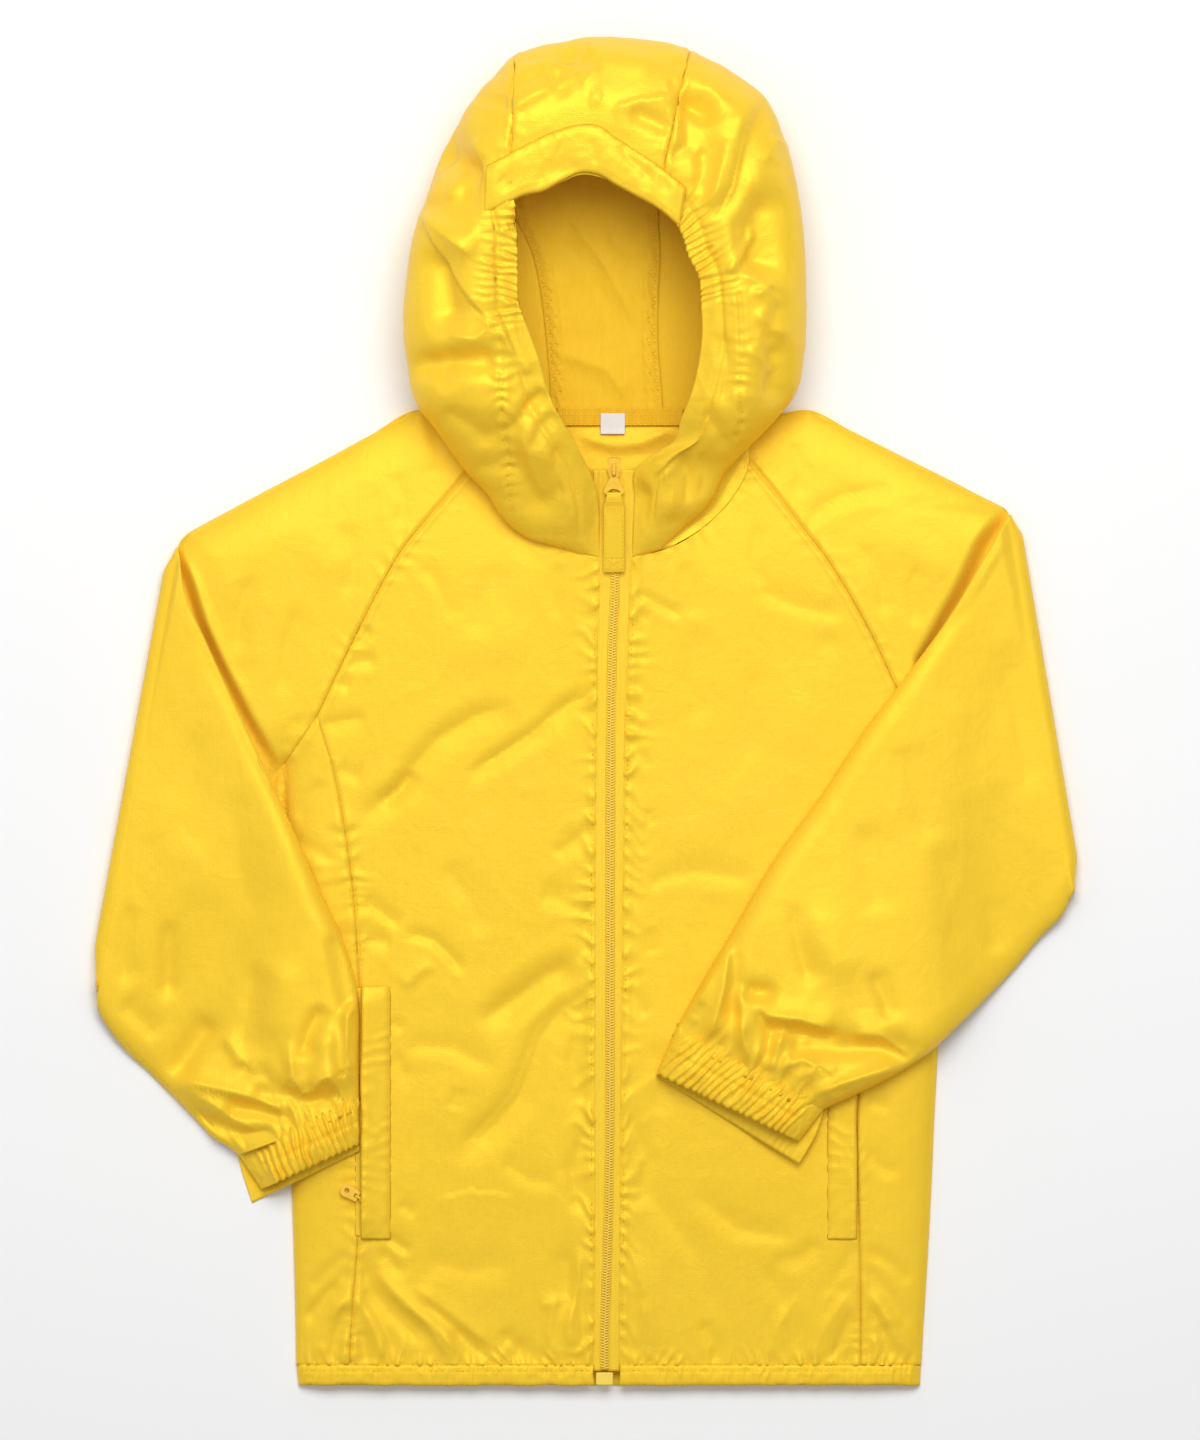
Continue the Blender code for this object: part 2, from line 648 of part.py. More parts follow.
def hood_centre():
    """The strip over the crown, brim to back neck."""
    floor = [86, 141, 214, 252, 300, 345, 384, 411.4]
    rows = []
    n = len(HOOD_CENTRE) - 1
    for k, (mx, my, ox, oy) in enumerate(HOOD_CENTRE):
        u = k / n
        move = 0.55 if k == 0 else (-0.55 if k == n else 0.0)
        row = [place(x + move, y, z) for x, y, z in hood_run((mx, my), 73, 75, (ox, oy), 34, (ox, oy + 300))[: len(FLAT_PART) + len(OVER)]]
        for deg in UNDERTURN[:-1]:
            t = math.radians(deg)
            y = oy + HOOD_UNDER * (1 - math.cos(t)) * MM / STEP
            left, right = table_at(HOOD_BACK, 0, y, 1), table_at(HOOD_BACK, 0, y, 2)
            row.append(place(lerp(left, right, u) + move, y, 34 * (1 - math.sin(t))))
        for i, y in enumerate(floor):
            if i == 0:
                y = oy + HOOD_UNDER * MM / STEP
            left, right = table_at(HOOD_BACK, 0, y, 1), table_at(HOOD_BACK, 0, y, 2)
            row.append(place(lerp(left, right, u) + move, y, 0))
        rows.append(row)
    return sheet("hood_centre", rows, (4, 1, 1)), rows


centre, centre_rows = hood_centre()


def height_over(points, x, y):
    """Height of a panel above a chart point, from its three nearest points."""
    near = sorted(((p.x - x) ** 2 + (p.y - y) ** 2, p.z) for p in points)[:3]
    w = [1 / (d + 1e-8) for d, _ in near]
    return sum(a * b for a, (_, b) in zip(w, near)) / sum(w)


def brim():
    """Stiff band across the top of the opening, laid on the hood's edge."""
    rows = []
    for lx, ly, tx, ty in BRIM:
        row = []
        for f in (0, 0.35, 0.7, 1.0):
            x, y = lerp(lx, tx, f), lerp(ly, ty, f)
            row.append(place(x, y, 74.5 + 1.2 * smooth(f) + BRIM_LIFT))
        rows.append(row)
    return sheet("hood_brim", rows, (4, 1, 1), colour=TRIM)


brim()


# ---------------------------------------------------------------- inside back neck
def strip(name, outline, thick, colour, rough=0.42):
    """Flat piece: rows of points already at their outside height."""
    return sheet(name, outline, (0, 0, 1), thick=thick, colour=colour, rough=rough)


NECK_TAPE_TOP, NECK_TAPE_END = 409.0, 424.0
strip(
    "neck_tape",
    [[place(x, y, 2.35 + 0.0 * x) for x in (557, 590, 620, 650, 683)]
     for y in (NECK_TAPE_TOP, 416.5, NECK_TAPE_END)],
    0.9, TRIM,
)
strip(
    "size_label",
    [[place(x, y, 3.25) for x in (600.5, 625)] for y in (413, 434)],
    0.6, (0.9, 0.9, 0.88, 1.0), 0.6,
)


# ---------------------------------------------------------------- pockets
POCKET_TOP, POCKET_END = 986.0, 1239.0


def welt(name, x_free, x_sewn, lift):
    """Pocket welt: sewn along one side, its free edge raised."""
    rows = []
    for y in (POCKET_TOP, 1020, 1070, 1120, 1180, 1215, POCKET_END):
        end = smooth((y - POCKET_TOP + 10) / 30.0) * smooth((POCKET_END + 10 - y) / 30.0)
        row = []
        for f in (0, 0.3, 0.65, 1.0):
            x = lerp(x_free, x_sewn, f)
            up = GAP + 1.1 + lift * end * (1 - f)
            row.append(place(x, y, front_top(x, y) + up))
        rows.append(row)
    return sheet(name, rows, (0, 1, 1), thick=0.9, colour=TRIM)


welt("pocket_welt_left", 361.0, 391.0, 4.4)
welt("pocket_welt_right", 857.0, 827.0, 1.2)


# ---------------------------------------------------------------- front zip
def zip_rows(y_from, y_to):
    ys = [r[0] for r in ZIP if y_from < r[0] < y_to]
    return [y_from] + ys + [y_to]


def zip_z(y):
    return table_at(ZIP, 0, y, 4)


def tape(name, col, sgn):
    rows = []
    for y in zip_rows(470, 1371):
        outer = table_at(ZIP, 0, y, col) + 0.5 * -sgn
        inner = table_at(ZIP, 0, y, 1) + 5.3 * sgn
        rows.append([place(x, y, zip_z(y) - 0.1) for x in (outer, 0.5 * (outer + inner), inner)])
    return sheet(name, rows, (0, 0, 1), thick=0.9, colour=TRIM)


tape("zip_tape_left", 2, -1)
tape("zip_tape_right", 3, 1)


def coil():
    rows = []
    for y in zip_rows(482, 1370):
        mid = table_at(ZIP, 0, y, 1)
        rows.append([place(mid + dx, y, zip_z(y) + dz) for dx, dz in ((-4.6, 0.2), (-2.6, 1.0), (2.6, 1.0), (4.6, 0.2))])
    return sheet("zip_coil", rows, (0, 1, 1), thick=1.3, colour=TRIM, rough=0.35)


coil()

BOX_Z = zip_z(1371)


def box_object(name, x0, x1, y0, y1, z0, z1, bevel, colour=TRIM, rough=0.35):
    """Rounded block between chart corners and heights."""
    bm = bmesh.new()
    bmesh.ops.create_cube(bm, size=1.0)
    a, b = place(x0, y0, z0), place(x1, y1, z1)
    for v in bm.verts:
        v.co = Vector((lerp(a.x, b.x, v.co.x + 0.5), lerp(b.y, a.y, v.co.y + 0.5), lerp(a.z, b.z, v.co.z + 0.5)))
    mesh = bpy.data.meshes.new(name)
    bm.to_mesh(mesh)
    bm.free()
    obj = bpy.data.objects.new(name, mesh)
    if bevel:
        m = obj.modifiers.new("rounded", "BEVEL")
        m.width = bevel * MM
        m.segments = 2
    return finish(obj, colour, rough)


box_object("zip_box", 596, 613, 1372.5, 1385, BOX_Z - 1.3, BOX_Z + 1.5, 0.5)


# ---------------------------------------------------------------- front slider and pull
# Both are drawn level round their own hinge and then tipped with the zip.
HINGE_Y = 470.0
TIP = math.atan2((zip_z(470) - zip_z(557)) * MM, (557 - 470) * STEP)
HINGE = place(614.0, HINGE_Y, zip_z(HINGE_Y) + 3.6)
PIN = 0.55             # half thickness of the pull and of its cross bar, mm
TUNNEL = 1.0           # half height of the slider's tunnel, mm


def tipped(obj, pivot, angle):
    obj.matrix_world = Matrix.Translation(pivot) @ Matrix.Rotation(angle, 4, "X")
    return obj


def plate(name, outlines, half, colour=TRIM, rough=0.3, bevel=0.0):
    """Flat plate in the XY plane from closed outlines in mm; later ones are holes."""
    cu = bpy.data.curves.new(name + "_curve", "CURVE")
    cu.dimensions = "2D"
    cu.fill_mode = "BOTH"
    cu.extrude = half * MM
    for pts in outlines:
        sp = cu.splines.new("POLY")
        sp.points.add(len(pts) - 1)
        for p, (x, y) in zip(sp.points, pts):
            p.co = (x * MM, y * MM, 0, 1)
        sp.use_cyclic_u = True
    tmp = bpy.data.objects.new(name + "_tmp", cu)
    bpy.context.scene.collection.objects.link(tmp)
    deps = bpy.context.evaluated_depsgraph_get()
    mesh = bpy.data.meshes.new_from_object(tmp.evaluated_get(deps))
    bpy.data.objects.remove(tmp, do_unlink=True)
    bm = bmesh.new()
    bm.from_mesh(mesh)
    bmesh.ops.remove_doubles(bm, verts=bm.verts, dist=1e-6)
    bmesh.ops.recalc_face_normals(bm, faces=bm.faces)
    bm.to_mesh(mesh)
    bm.free()
    mesh.name = name
    mesh.materials.clear()
    return bpy.data.objects.new(name, mesh)


def arc(cx, cy, rx, ry, a0, a1, n):
    return [(cx + rx * math.cos(math.radians(lerp(a0, a1, i / n))),
             cy + ry * math.sin(math.radians(lerp(a0, a1, i / n)))) for i in range(n + 1)]


def slider():
    """Body with a bridge over the pull's cross bar. Local y points to the hood."""
    body = plate("zip_slider", [[(-2.6, -4.4), (2.6, -4.4), (3.9, 0.5), (3.9, 4.6), (2.6, 6.2), (-2.6, 6.2), (-3.9, 4.6), (-3.9, 0.5)]], 1.15)
    body.data.transform(Matrix.Translation((0, 0, (-TUNNEL - 1.15) * MM)))
    bridge = plate("bridge", [[(-3.4, -2.2), (3.4, -2.2), (3.4, 0.6), (2.2, 2.1), (-2.2, 2.1), (-3.4, 0.6)],
                              [(-1.7, -TUNNEL), (1.7, -TUNNEL), (1.7, TUNNEL), (-1.7, TUNNEL)]], 0.8)
    # the bridge's outline is drawn lengthwise and stood on edge
    bridge.data.transform(Matrix.Rotation(math.radians(90), 4, "Z") @ Matrix.Rotation(math.radians(90), 4, "X"))
    bridge.hide_render = True
    bridge.display_type = "WIRE"
    cutters.objects.link(bridge)
    finish(body, TRIM, 0.3)
    tipped(body, HINGE, TIP)
    tipped(bridge, HINGE, TIP)
    join = body.modifiers.new("bridge", "BOOLEAN")
    join.operation = "UNION"
    join.object = bridge
    join.solver = "EXACT"
    return body


slider()
PULL_END = (497.0 - HINGE_Y) * STEP / MM
outline = (
    [(-2.1, 0.55), (2.1, 0.55), (2.1, -4.6), (4.2, -8.2)]
    + arc(0, -PULL_END + 3.0, 5.6, 3.0, 0, -90, 4)[:4]
    + [(4.4, -PULL_END), (-4.4, -PULL_END)]
    + arc(0, -PULL_END + 3.0, 5.6, 3.0, -90, -180, 4)[1:]
    + [(-4.2, -8.2), (-2.1, -4.6)]
)
pull = plate("zip_pull", [
    outline,
    [(-1.25, -0.55), (1.25, -0.55), (1.25, -4.3), (-1.25, -4.3)],
    [(-4.0, -PULL_END + 1.1), (4.0, -PULL_END + 1.1)] + arc(0, -PULL_END + 1.1, 4.0, 3.1, 0, 180, 6)[1:-1],
], PIN)
finish(pull, TRIM, 0.3)
zip_pull_axis = bpy.data.objects.new("zip_pull_axis", None)
windbreaker.objects.link(zip_pull_axis)
zip_pull_axis.matrix_world = Matrix.Translation(HINGE) @ Matrix.Rotation(TIP, 4, "X")
pull.parent = zip_pull_axis


def strap():
    """Cloth strap looped round the pull's bar, its two plies sewn together."""
    bar_top, bar_end = -PULL_END + 1.1, -PULL_END
    far = -(574.6 - HINGE_Y) * STEP / MM
    ply = 0.6
    up, dn = PIN + GAP + ply, -(PIN + GAP + ply)
    # outside of the loop: y, z, half width
    path = [
        (far, 0.75, 5.7), (-40, 0.78, 5.6), (bar_end - 5, 0.85, 5.4), (bar_end - 2.2, up, 4.6), (bar_end + 0.4, up, 3.8),
        (bar_top + GAP + ply, up - 0.5, 3.7), (bar_top + GAP + ply, dn + 0.5, 3.7),
        (bar_end + 0.4, dn, 3.8), (bar_end - 2.2, dn, 4.6), (bar_end - 5, -0.75, 5.4), (-40, -0.72, 5.6), (far, -0.7, 5.7),
    ]
    rows = [[Vector((x * w * MM, y * MM, z * MM)) for x in (-1, 1)] for y, z, w in path]
    obj = sheet("pull_strap", rows, (0, 0, 1), thick=ply)
    obj.parent = zip_pull_axis
    return obj


strap()


# ---------------------------------------------------------------- pocket zip, slider and pull
PZ_X = 366.0


def pocket_zip():
    rows = []
    for y in (990, 1040, 1090, 1140, 1190, 1234):
        rows.append([place(x, y, front_top(x, y) + GAP + 0.9) for x in (PZ_X - 4.2, PZ_X, PZ_X + 4.2)])
    return sheet("pocket_zip_left", rows, (0, 0, 1), thick=0.9, colour=TRIM)


pocket_zip()
P_HINGE_CHART = (357.6, 1196.5)
P_HINGE_Z = front_top(*P_HINGE_CHART) + 2.5
P_HINGE = place(P_HINGE_CHART[0], P_HINGE_CHART[1], P_HINGE_Z)
P_TURN = math.radians(-30)         # the tab's axis in plan: slider end points right and down
P_SCALE = STEP / MM


def pocket_slider():
    """Small slider under the welt with a lug that holds the tab's cross bar."""
    body = plate("pocket_slider", [[(1.7, -1.1), (3.6, -1.9), (5.8, -1.9), (5.8, 1.9), (3.6, 1.9), (1.7, 1.1)]], 0.75)
    lug = plate("lug", [[(-1.5, -1.35), (2.6, -1.35), (2.6, 1.0), (1.2, 1.35), (-0.9, 1.35), (-1.5, 0.8)],
                        [(-0.95, -0.85), (0.95, -0.85), (0.95, 0.85), (-0.95, 0.85)]], 0.55)
    lug.data.transform(Matrix.Rotation(math.radians(90), 4, "X"))
    body.data.transform(Matrix.Translation((0, 0, 0.15 * MM)))
    lug.hide_render = True
    lug.display_type = "WIRE"
    cutters.objects.link(lug)
    finish(body, TRIM, 0.3)
    for o in (body, lug):
        o.matrix_world = Matrix.Translation(P_HINGE) @ Matrix.Rotation(P_TURN, 4, "Z")
    join = body.modifiers.new("lug", "BOOLEAN")
    join.operation = "UNION"
    join.object = lug
    join.solver = "EXACT"
    return body


pocket_slider()
TAB = math.dist((346.9, 1190.3), P_HINGE_CHART) * P_SCALE
tab = plate("pocket_pull", [
    arc(-TAB, 0, 3.7, 3.7, 70, 290, 8) + [(0.45, -2.9), (0.45, 2.9)],
    [(-0.45, -1.0), (-0.45, 1.0), (-2.2, 1.0), (-2.2, -1.0)],
    arc(-TAB, 0, 1.5, 1.5, 0, 315, 7),
], 0.45)
finish(tab, TRIM, 0.3)
pocket_pull_axis = bpy.data.objects.new("pocket_pull_axis", None)
windbreaker.objects.link(pocket_pull_axis)
pocket_pull_axis.matrix_world = Matrix.Translation(P_HINGE) @ Matrix.Rotation(P_TURN, 4, "Z")
tab.parent = pocket_pull_axis
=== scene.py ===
"""The looks of a child's hooded windbreaker laid flat on its back, sleeves
folded in over the front. Cloth is drawn on the same chart as the CAD: 0.55 mm
a step, x to the right, y down from the top of the hood, heights in mm above
the surface it lies on.
"""
import math
import bpy
import numpy as np
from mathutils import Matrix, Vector
from mathutils.bvhtree import BVHTree

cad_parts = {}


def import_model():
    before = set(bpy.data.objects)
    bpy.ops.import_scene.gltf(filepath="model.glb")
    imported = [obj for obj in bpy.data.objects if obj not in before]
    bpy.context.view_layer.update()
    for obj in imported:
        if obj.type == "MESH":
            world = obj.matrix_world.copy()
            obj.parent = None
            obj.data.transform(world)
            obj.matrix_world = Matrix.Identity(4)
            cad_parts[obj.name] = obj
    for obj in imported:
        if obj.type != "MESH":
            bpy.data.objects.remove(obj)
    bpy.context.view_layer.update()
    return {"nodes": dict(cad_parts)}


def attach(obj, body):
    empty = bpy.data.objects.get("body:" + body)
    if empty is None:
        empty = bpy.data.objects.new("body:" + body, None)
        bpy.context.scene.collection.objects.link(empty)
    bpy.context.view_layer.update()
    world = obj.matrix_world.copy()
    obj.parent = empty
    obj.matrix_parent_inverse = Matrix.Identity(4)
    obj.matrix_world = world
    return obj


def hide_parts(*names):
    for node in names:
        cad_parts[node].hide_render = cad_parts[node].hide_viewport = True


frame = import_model()

STEP = 0.00055
CHART_X, CHART_Y = 585.26, 711.75
EDGE, ROUND = 2.4, 28.0
FOLD_TOP, FOLD_AXIS = 5.0, 5.6
REST, HOOD_REST, HOOD_UNDER = 1.2, 0.9, 16.0
HEM_TOP, HEM_END = 1366.0, 1385.5
THIN = 0.45                      # one ply of the shell cloth, mm
FINE = 1.24    # spacing factor

# ---------------------------------------------------------------- chart tables
CAP_LEFT = [
    (477, 461, 488, 424, 530, 414), (452, 490, 455, 417, 498, 447), (428, 517, 418, 410, 466, 486),
    (401, 551, 372, 434, 435, 526), (376, 595, 328, 458, 404, 568), (353, 641, 288, 479, 374, 612),
    (330, 689, 252, 498, 345, 660), (317, 716, 226, 512, 322, 697), (289, 758, 200, 526, 293, 750),
    (283, 767, 191, 531, 283, 767),
]
CAP_RIGHT = [
    (749, 460, 738, 424, 696, 414), (775, 492, 772, 416, 728, 447), (800, 524, 808, 410, 760, 486),
    (825, 556, 850, 430, 791, 526), (849, 594, 888, 449, 822, 568), (872, 636, 920, 465, 852, 612),
    (897, 689, 950, 480, 881, 660), (909, 712, 975, 493, 904, 697), (937, 755, 997, 504, 933, 750),
    (943, 767, 1003, 507, 943, 767),
]
# sleeve laid flat down to its fold: low edge, top edge
FLAT_LEFT = [(240, 815, 186, 535), (190, 873, 182, 539), (143, 930, 179.5, 543), (97.5, 986, 178, 548)]
FLAT_RIGHT = [(978, 800, 1005, 508.5), (1012, 832, 1006.5, 510), (1044, 863, 1008, 512), (1073, 892, 1009, 515)]
# sleeve turned back: low edge, top edge, thickness
ARM_LEFT = [
    (97.5, 986, 178, 548, 5.0), (97, 1006, 186, 596, 5.4), (108, 1028, 206, 641, 6.0), (128, 1053, 231, 696, 7.0),
    (147, 1071, 261, 760, 8.0), (164, 1088, 290, 822, 9.0), (181, 1105, 320, 890, 10.5), (200, 1125, 343, 940, 12.0),
    (214, 1139, 357.5, 990, 12.0), (229, 1148, 359.5, 1060, 10.5), (236.5, 1153.5, 359.5, 1098, 9.0),
]
ARM_RIGHT = [
    (1073, 892, 1009, 515, 5.0), (1063, 914, 984, 558, 5.4), (1042, 936, 951, 614, 6.0), (1012, 972, 912, 668, 7.0),
    (985, 1000, 866, 728, 8.0), (958, 1026, 820, 797, 9.0), (931, 1051, 774, 860, 10.5), (898, 1073, 734, 928, 12.0),
    (866, 1090, 704, 978, 13.0), (842, 1101, 686, 1010, 12.0), (824.5, 1109, 677.5, 1025.7, 9.5),
]
# cuffs: upper ply low end, top end, under ply low end, top end, thickness
CUFF_LEFT = [
    (237, 1154, 359.5, 1099, 237, 1154, 359.5, 1099, 9.0),
    (249, 1172, 359.5, 1121, 243, 1176, 359.5, 1124, 10.5),
    (261, 1190, 359.5, 1144.5, 252, 1203, 359.5, 1151, 9.0),
]
CUFF_RIGHT = [
    (824, 1109.5, 677.2, 1026.3, 824, 1109.5, 677.2, 1026.3, 9.5),
    (812, 1125, 667, 1050, 816, 1134, 667, 1050, 11.0),
    (799, 1141.5, 656.5, 1074, 799, 1164, 656.5, 1076, 9.5),
]
SIDE_LEFT = [
    (716, 317, 283, 767), (764, 332, 283.5, 790), (825, 344, 284.5, 825), (890, 353, 286, 890), (963, 358, 288, 963),
    (1040, 361, 290, 1040), (1120, 361, 291.5, 1120), (1200, 360, 293, 1200), (1265, 356, 295, 1265),
    (1330, 351, 296.5, 1330), (1365.2, 350, 297, 1365.2),
]
SIDE_RIGHT = [
    (712, 909, 943, 767), (764, 897, 942, 790), (825, 884, 941, 825), (890, 874, 940, 890), (963, 868, 939, 963),
    (1040, 862, 937.5, 1040), (1120, 857, 933.5, 1120), (1200, 858, 930, 1200), (1265, 860, 926.5, 1265),
    (1330, 860.5, 922.5, 1330), (1365.2, 860.6, 920.5, 1365.2),
]
NECK_LEFT = [(477, 461), (482, 476), (496, 497), (516, 522), (548, 544.5), (598, 557.5)]
NECK_RIGHT = [(749, 460), (740, 481), (722, 509), (700, 530), (672, 547), (632, 557.5)]
ZIP = [
    (468, 614.0, 600.5, 633.0, 29.5), (500, 613.8, 600.3, 632.5, 25.6), (530, 613.8, 600.0, 632.0, 21.9),
    (557, 614.5, 599.8, 631.5, 18.6), (590, 615.0, 599.2, 630.0, 16.6), (640, 612.5, 598.0, 628.4, 15.0),
    (700, 611.0, 597.0, 626.2, 14.0), (764, 610.5, 596.2, 624.3, 13.4), (825, 610.2, 595.5, 623.6, 13.0),
    (890, 610.0, 595.0, 623.0, 12.8), (963, 610.0, 595.0, 622.3, 12.6), (1040, 610.0, 595.0, 621.3, 12.4),
    (1120, 609.8, 595.0, 620.4, 12.0), (1200, 609.0, 594.8, 620.0, 11.0), (1265, 607.0, 594.4, 619.6, 9.8),
    (1330, 604.6, 593.9, 619.2, 8.6), (1371, 604.6, 593.6, 619.0, 7.6),
]
FRONT_HEIGHT = [
    (400, 8.5), (461, 10.5), (500, 12.0), (557, 14.2), (600, 14.0), (700, 13.0), (800, 12.2), (900, 11.8),
    (1040, 11.4), (1150, 10.8), (1250, 9.4), (1330, 8.0), (1366, 7.2), (1390, 6.8),
]
# hood sides: mouth edge x, y, z; crest z; outline x, y, z; inner end x, y
HOOD_LEFT = [
    (511.5, 203, 73, 75, 514, 56, 34, 514, 86), (517.5, 231, 71.5, 75, 485, 88, 34, 514, 112),
    (518, 250, 70, 74, 459, 121, 34, 514, 141), (518, 275, 68.5, 74, 440, 156, 34, 514, 176),
    (519, 303, 66, 73, 425, 200, 34, 516, 214), (530, 335, 64, 71, 411, 247, 34, 533, 252),
    (540, 362, 62, 69, 404, 305, 33, 543, 300), (547, 390, 59, 67, 406.5, 360, 32, 548, 345),
    (557, 413, 56, 64, 417, 404, 31, 551, 384), (569, 433, 51, 60, 434, 427, 30, 551, 409),
    (580, 452, 45, 55, 452, 453, 28, 514, 415.5), (588, 468, 38, 49, 468, 474, 26, 479, 437),
    (596, 490, 31, 42, 487, 494, 24, 480, 470), (599.2, 515, 25.5, 34, 502, 517, 22, 496, 497),
    (599.2, 538, 21.5, 26, 521, 534, 19, 516, 522), (599, 556.6, 18.8, 19.6, 565, 549, 17.2, 548, 543.4),
]
HOOD_RIGHT = [
    (656, 205, 73, 75, 690, 51, 34, 688, 81), (671, 219, 71.5, 75, 731, 73, 34, 681, 116),
    (681, 236, 70, 74, 763, 98, 34, 673, 150), (688, 258, 68.5, 74, 785, 142, 34, 665, 186),
    (698, 278, 66, 73, 798, 190, 34, 657, 222), (701, 305, 64, 71, 804.5, 245, 34, 659, 258),
    (702, 334, 62, 69, 806, 300, 33, 657, 305), (698, 368, 59, 67, 804.5, 352, 32, 657, 350),
    (690, 398, 56, 64, 794, 398, 31, 660, 386), (681, 420, 51, 60, 775, 420, 30, 662, 409),
    (675, 440, 45, 55, 760, 436, 28, 712, 415.5), (656, 453, 38, 49, 744, 452, 26, 747, 437),
    (637, 468, 31.5, 42, 727, 469, 24, 748, 461), (633.8, 505, 26, 34, 709, 502, 22, 722, 508),
    (633.2, 534, 22, 26, 691, 520, 19.5, 700, 529), (632.6, 556.6, 18.8, 19.6, 662, 547, 17.2, 672, 546),
]
HOOD_CENTRE = [
    (511.5, 203, 514, 56), (526, 198, 535, 48.5), (544, 194, 557, 43), (563, 184, 579, 39.5), (582, 177, 602, 38),
    (601, 180, 625, 39), (620, 189, 648, 41.5), (638, 200, 670, 45), (656, 205, 690, 51),
]
HOOD_BACK = [
    (56, 514, 690), (86, 514, 688), (141, 514, 674), (214, 516, 657.5), (252, 533, 659), (300, 543, 657),
    (345, 548, 657), (384, 551, 660), (411.4, 552, 662),
]
BRIM = [
    (484, 217, 487, 168), (507, 206, 506, 158), (525, 198, 524, 148), (544, 194, 543, 138.5), (562, 184, 560, 132),
    (580, 176, 577, 127.5), (597, 177.5, 597, 127.5), (616, 188, 617, 141), (636, 199, 636, 153),
    (656, 210, 657, 167), (679, 229, 686, 190),
]
LOW_EDGE_LEFT = [(97.5, 986), (283, 767)] + [(r[2], r[3]) for r in SIDE_LEFT[1:]] + [(297.5, 1390)]
LOW_EDGE_RIGHT = [(1073, 892), (943, 767)] + [(r[2], r[3]) for r in SIDE_RIGHT[1:]] + [(919.5, 1390)]
TOP_EDGE_LEFT = [(r[2], r[3]) for r in CAP_LEFT] + [(178, 548)]
TOP_EDGE_RIGHT = [(r[2], r[3]) for r in CAP_RIGHT] + [(1009, 515)]
DIP_LEFT = [(170, 546), (223, 660), (253, 718), (282, 767), (284, 801), (290, 1040), (297, 1400)]
DIP_RIGHT = [(1013, 508), (985, 545), (945, 610), (918, 660), (925, 720), (943, 767), (941, 801), (937, 1040), (919, 1400)]
UNDER = (
    [(r[2], r[3]) for r in CAP_LEFT] + [(178, 548), (92, 986)]
    + LOW_EDGE_LEFT[1:] + list(reversed(LOW_EDGE_RIGHT[1:]))
    + [(1078, 892), (1009, 515)] + [(r[2], r[3]) for r in reversed(CAP_RIGHT)]
    + NECK_RIGHT + list(reversed(NECK_LEFT))
)


# ---------------------------------------------------------------- helpers
def smooth(t):
    t = np.clip(t, 0, 1)
    return t * t * (3 - 2 * t)


def dome(t):
    t = np.clip(t, 0, 1)
    return np.sqrt(1 - (1 - t) ** 2)


def lerp(a, b, t):
    return a + (b - a) * t


def table_at(rows, t, col, key=0):
    a = np.array(rows, float)
    return np.interp(t, a[:, key], a[:, col])


def line_info(x, y, line):
    """Distance in steps, place along the line in steps, its length and the side (+ right of it)."""
    best = pos = side = None
    done = 0.0
    for a, b in zip(line, line[1:]):
        dx, dy = b[0] - a[0], b[1] - a[1]
        length = math.hypot(dx, dy) + 1e-9
        t = np.clip(((x - a[0]) * dx + (y - a[1]) * dy) / length ** 2, 0, 1)
        d = np.hypot(x - a[0] - dx * t, y - a[1] - dy * t)
        c = np.sign(dx * (y - a[1]) - dy * (x - a[0]))
        if best is None:
            best, pos, side = d, done + t * length, c
        else:
            m = d < best - 1e-9
            best, pos, side = np.where(m, d, best), np.where(m, done + t * length, pos), np.where(m, c, side)
        done += length
    return best, pos, done, side


def line_mm(x, y, line):
    return line_info(x, y, line)[0] * 0.55


def inside(x, y, ring):
    odd = np.zeros(np.shape(x), bool)
    for a, b in zip(ring, ring[1:] + ring[:1]):
        if a[1] == b[1]:
            continue
        cross = ((a[1] > y) != (b[1] > y)) & (x < (b[0] - a[0]) * (y - a[1]) / (b[1] - a[1]) + a[0])
        odd ^= cross
    return odd


def lattice(u, v, seed):
    """Smooth noise, -1 to 1, one lump a unit."""
    rng = np.random.RandomState(seed)
    g = rng.uniform(-1, 1, (64, 64))
    u, v = np.asarray(u) % 64, np.asarray(v) % 64
    i, j = np.floor(u).astype(int), np.floor(v).astype(int)
    a, b = smooth(u - i), smooth(v - j)
    i, j = i % 64, j % 64
    k, l = (i + 1) % 64, (j + 1) % 64
    return lerp(lerp(g[i, j], g[k, j], a), lerp(g[i, l], g[k, l], a), b)


def rough(x, y, seed, size=26.0):
    """Uneven lie of thin cloth: lumps and soft creases at several sizes."""
    wx = x + 9 * lattice(x / 40, y / 40, seed + 1)
    wy = y + 9 * lattice(x / 40 + 7, y / 40 + 3, seed + 2)
    h = lattice(wx / size, wy / (size * 1.3), seed + 3)
    r = 1 - np.abs(lattice(wx / (size * 0.9) + 5, wy / (size * 1.6), seed + 4)) * 2.2
    r = np.clip(r, -0.2, 1) ** 3
    f = lattice(wx / (size * 0.36), wy / (size * 0.5), seed + 5)
    return 0.5 * h + 0.45 * r + 0.22 * f


def blur(a, k):
    """Box mean over 2k + 1 cells both ways."""
    for axis in (0, 1):
        pad = [(0, 0), (0, 0)]
        pad[axis] = (k + 1, k)
        c = np.cumsum(np.pad(a, pad, mode="edge"), axis=axis)
        n = a.shape[axis]
        hi, lo = np.take(c, np.arange(2 * k + 1, 2 * k + 1 + n), axis=axis), np.take(c, np.arange(n), axis=axis)
        a = (hi - lo) / (2 * k + 1)
    return a


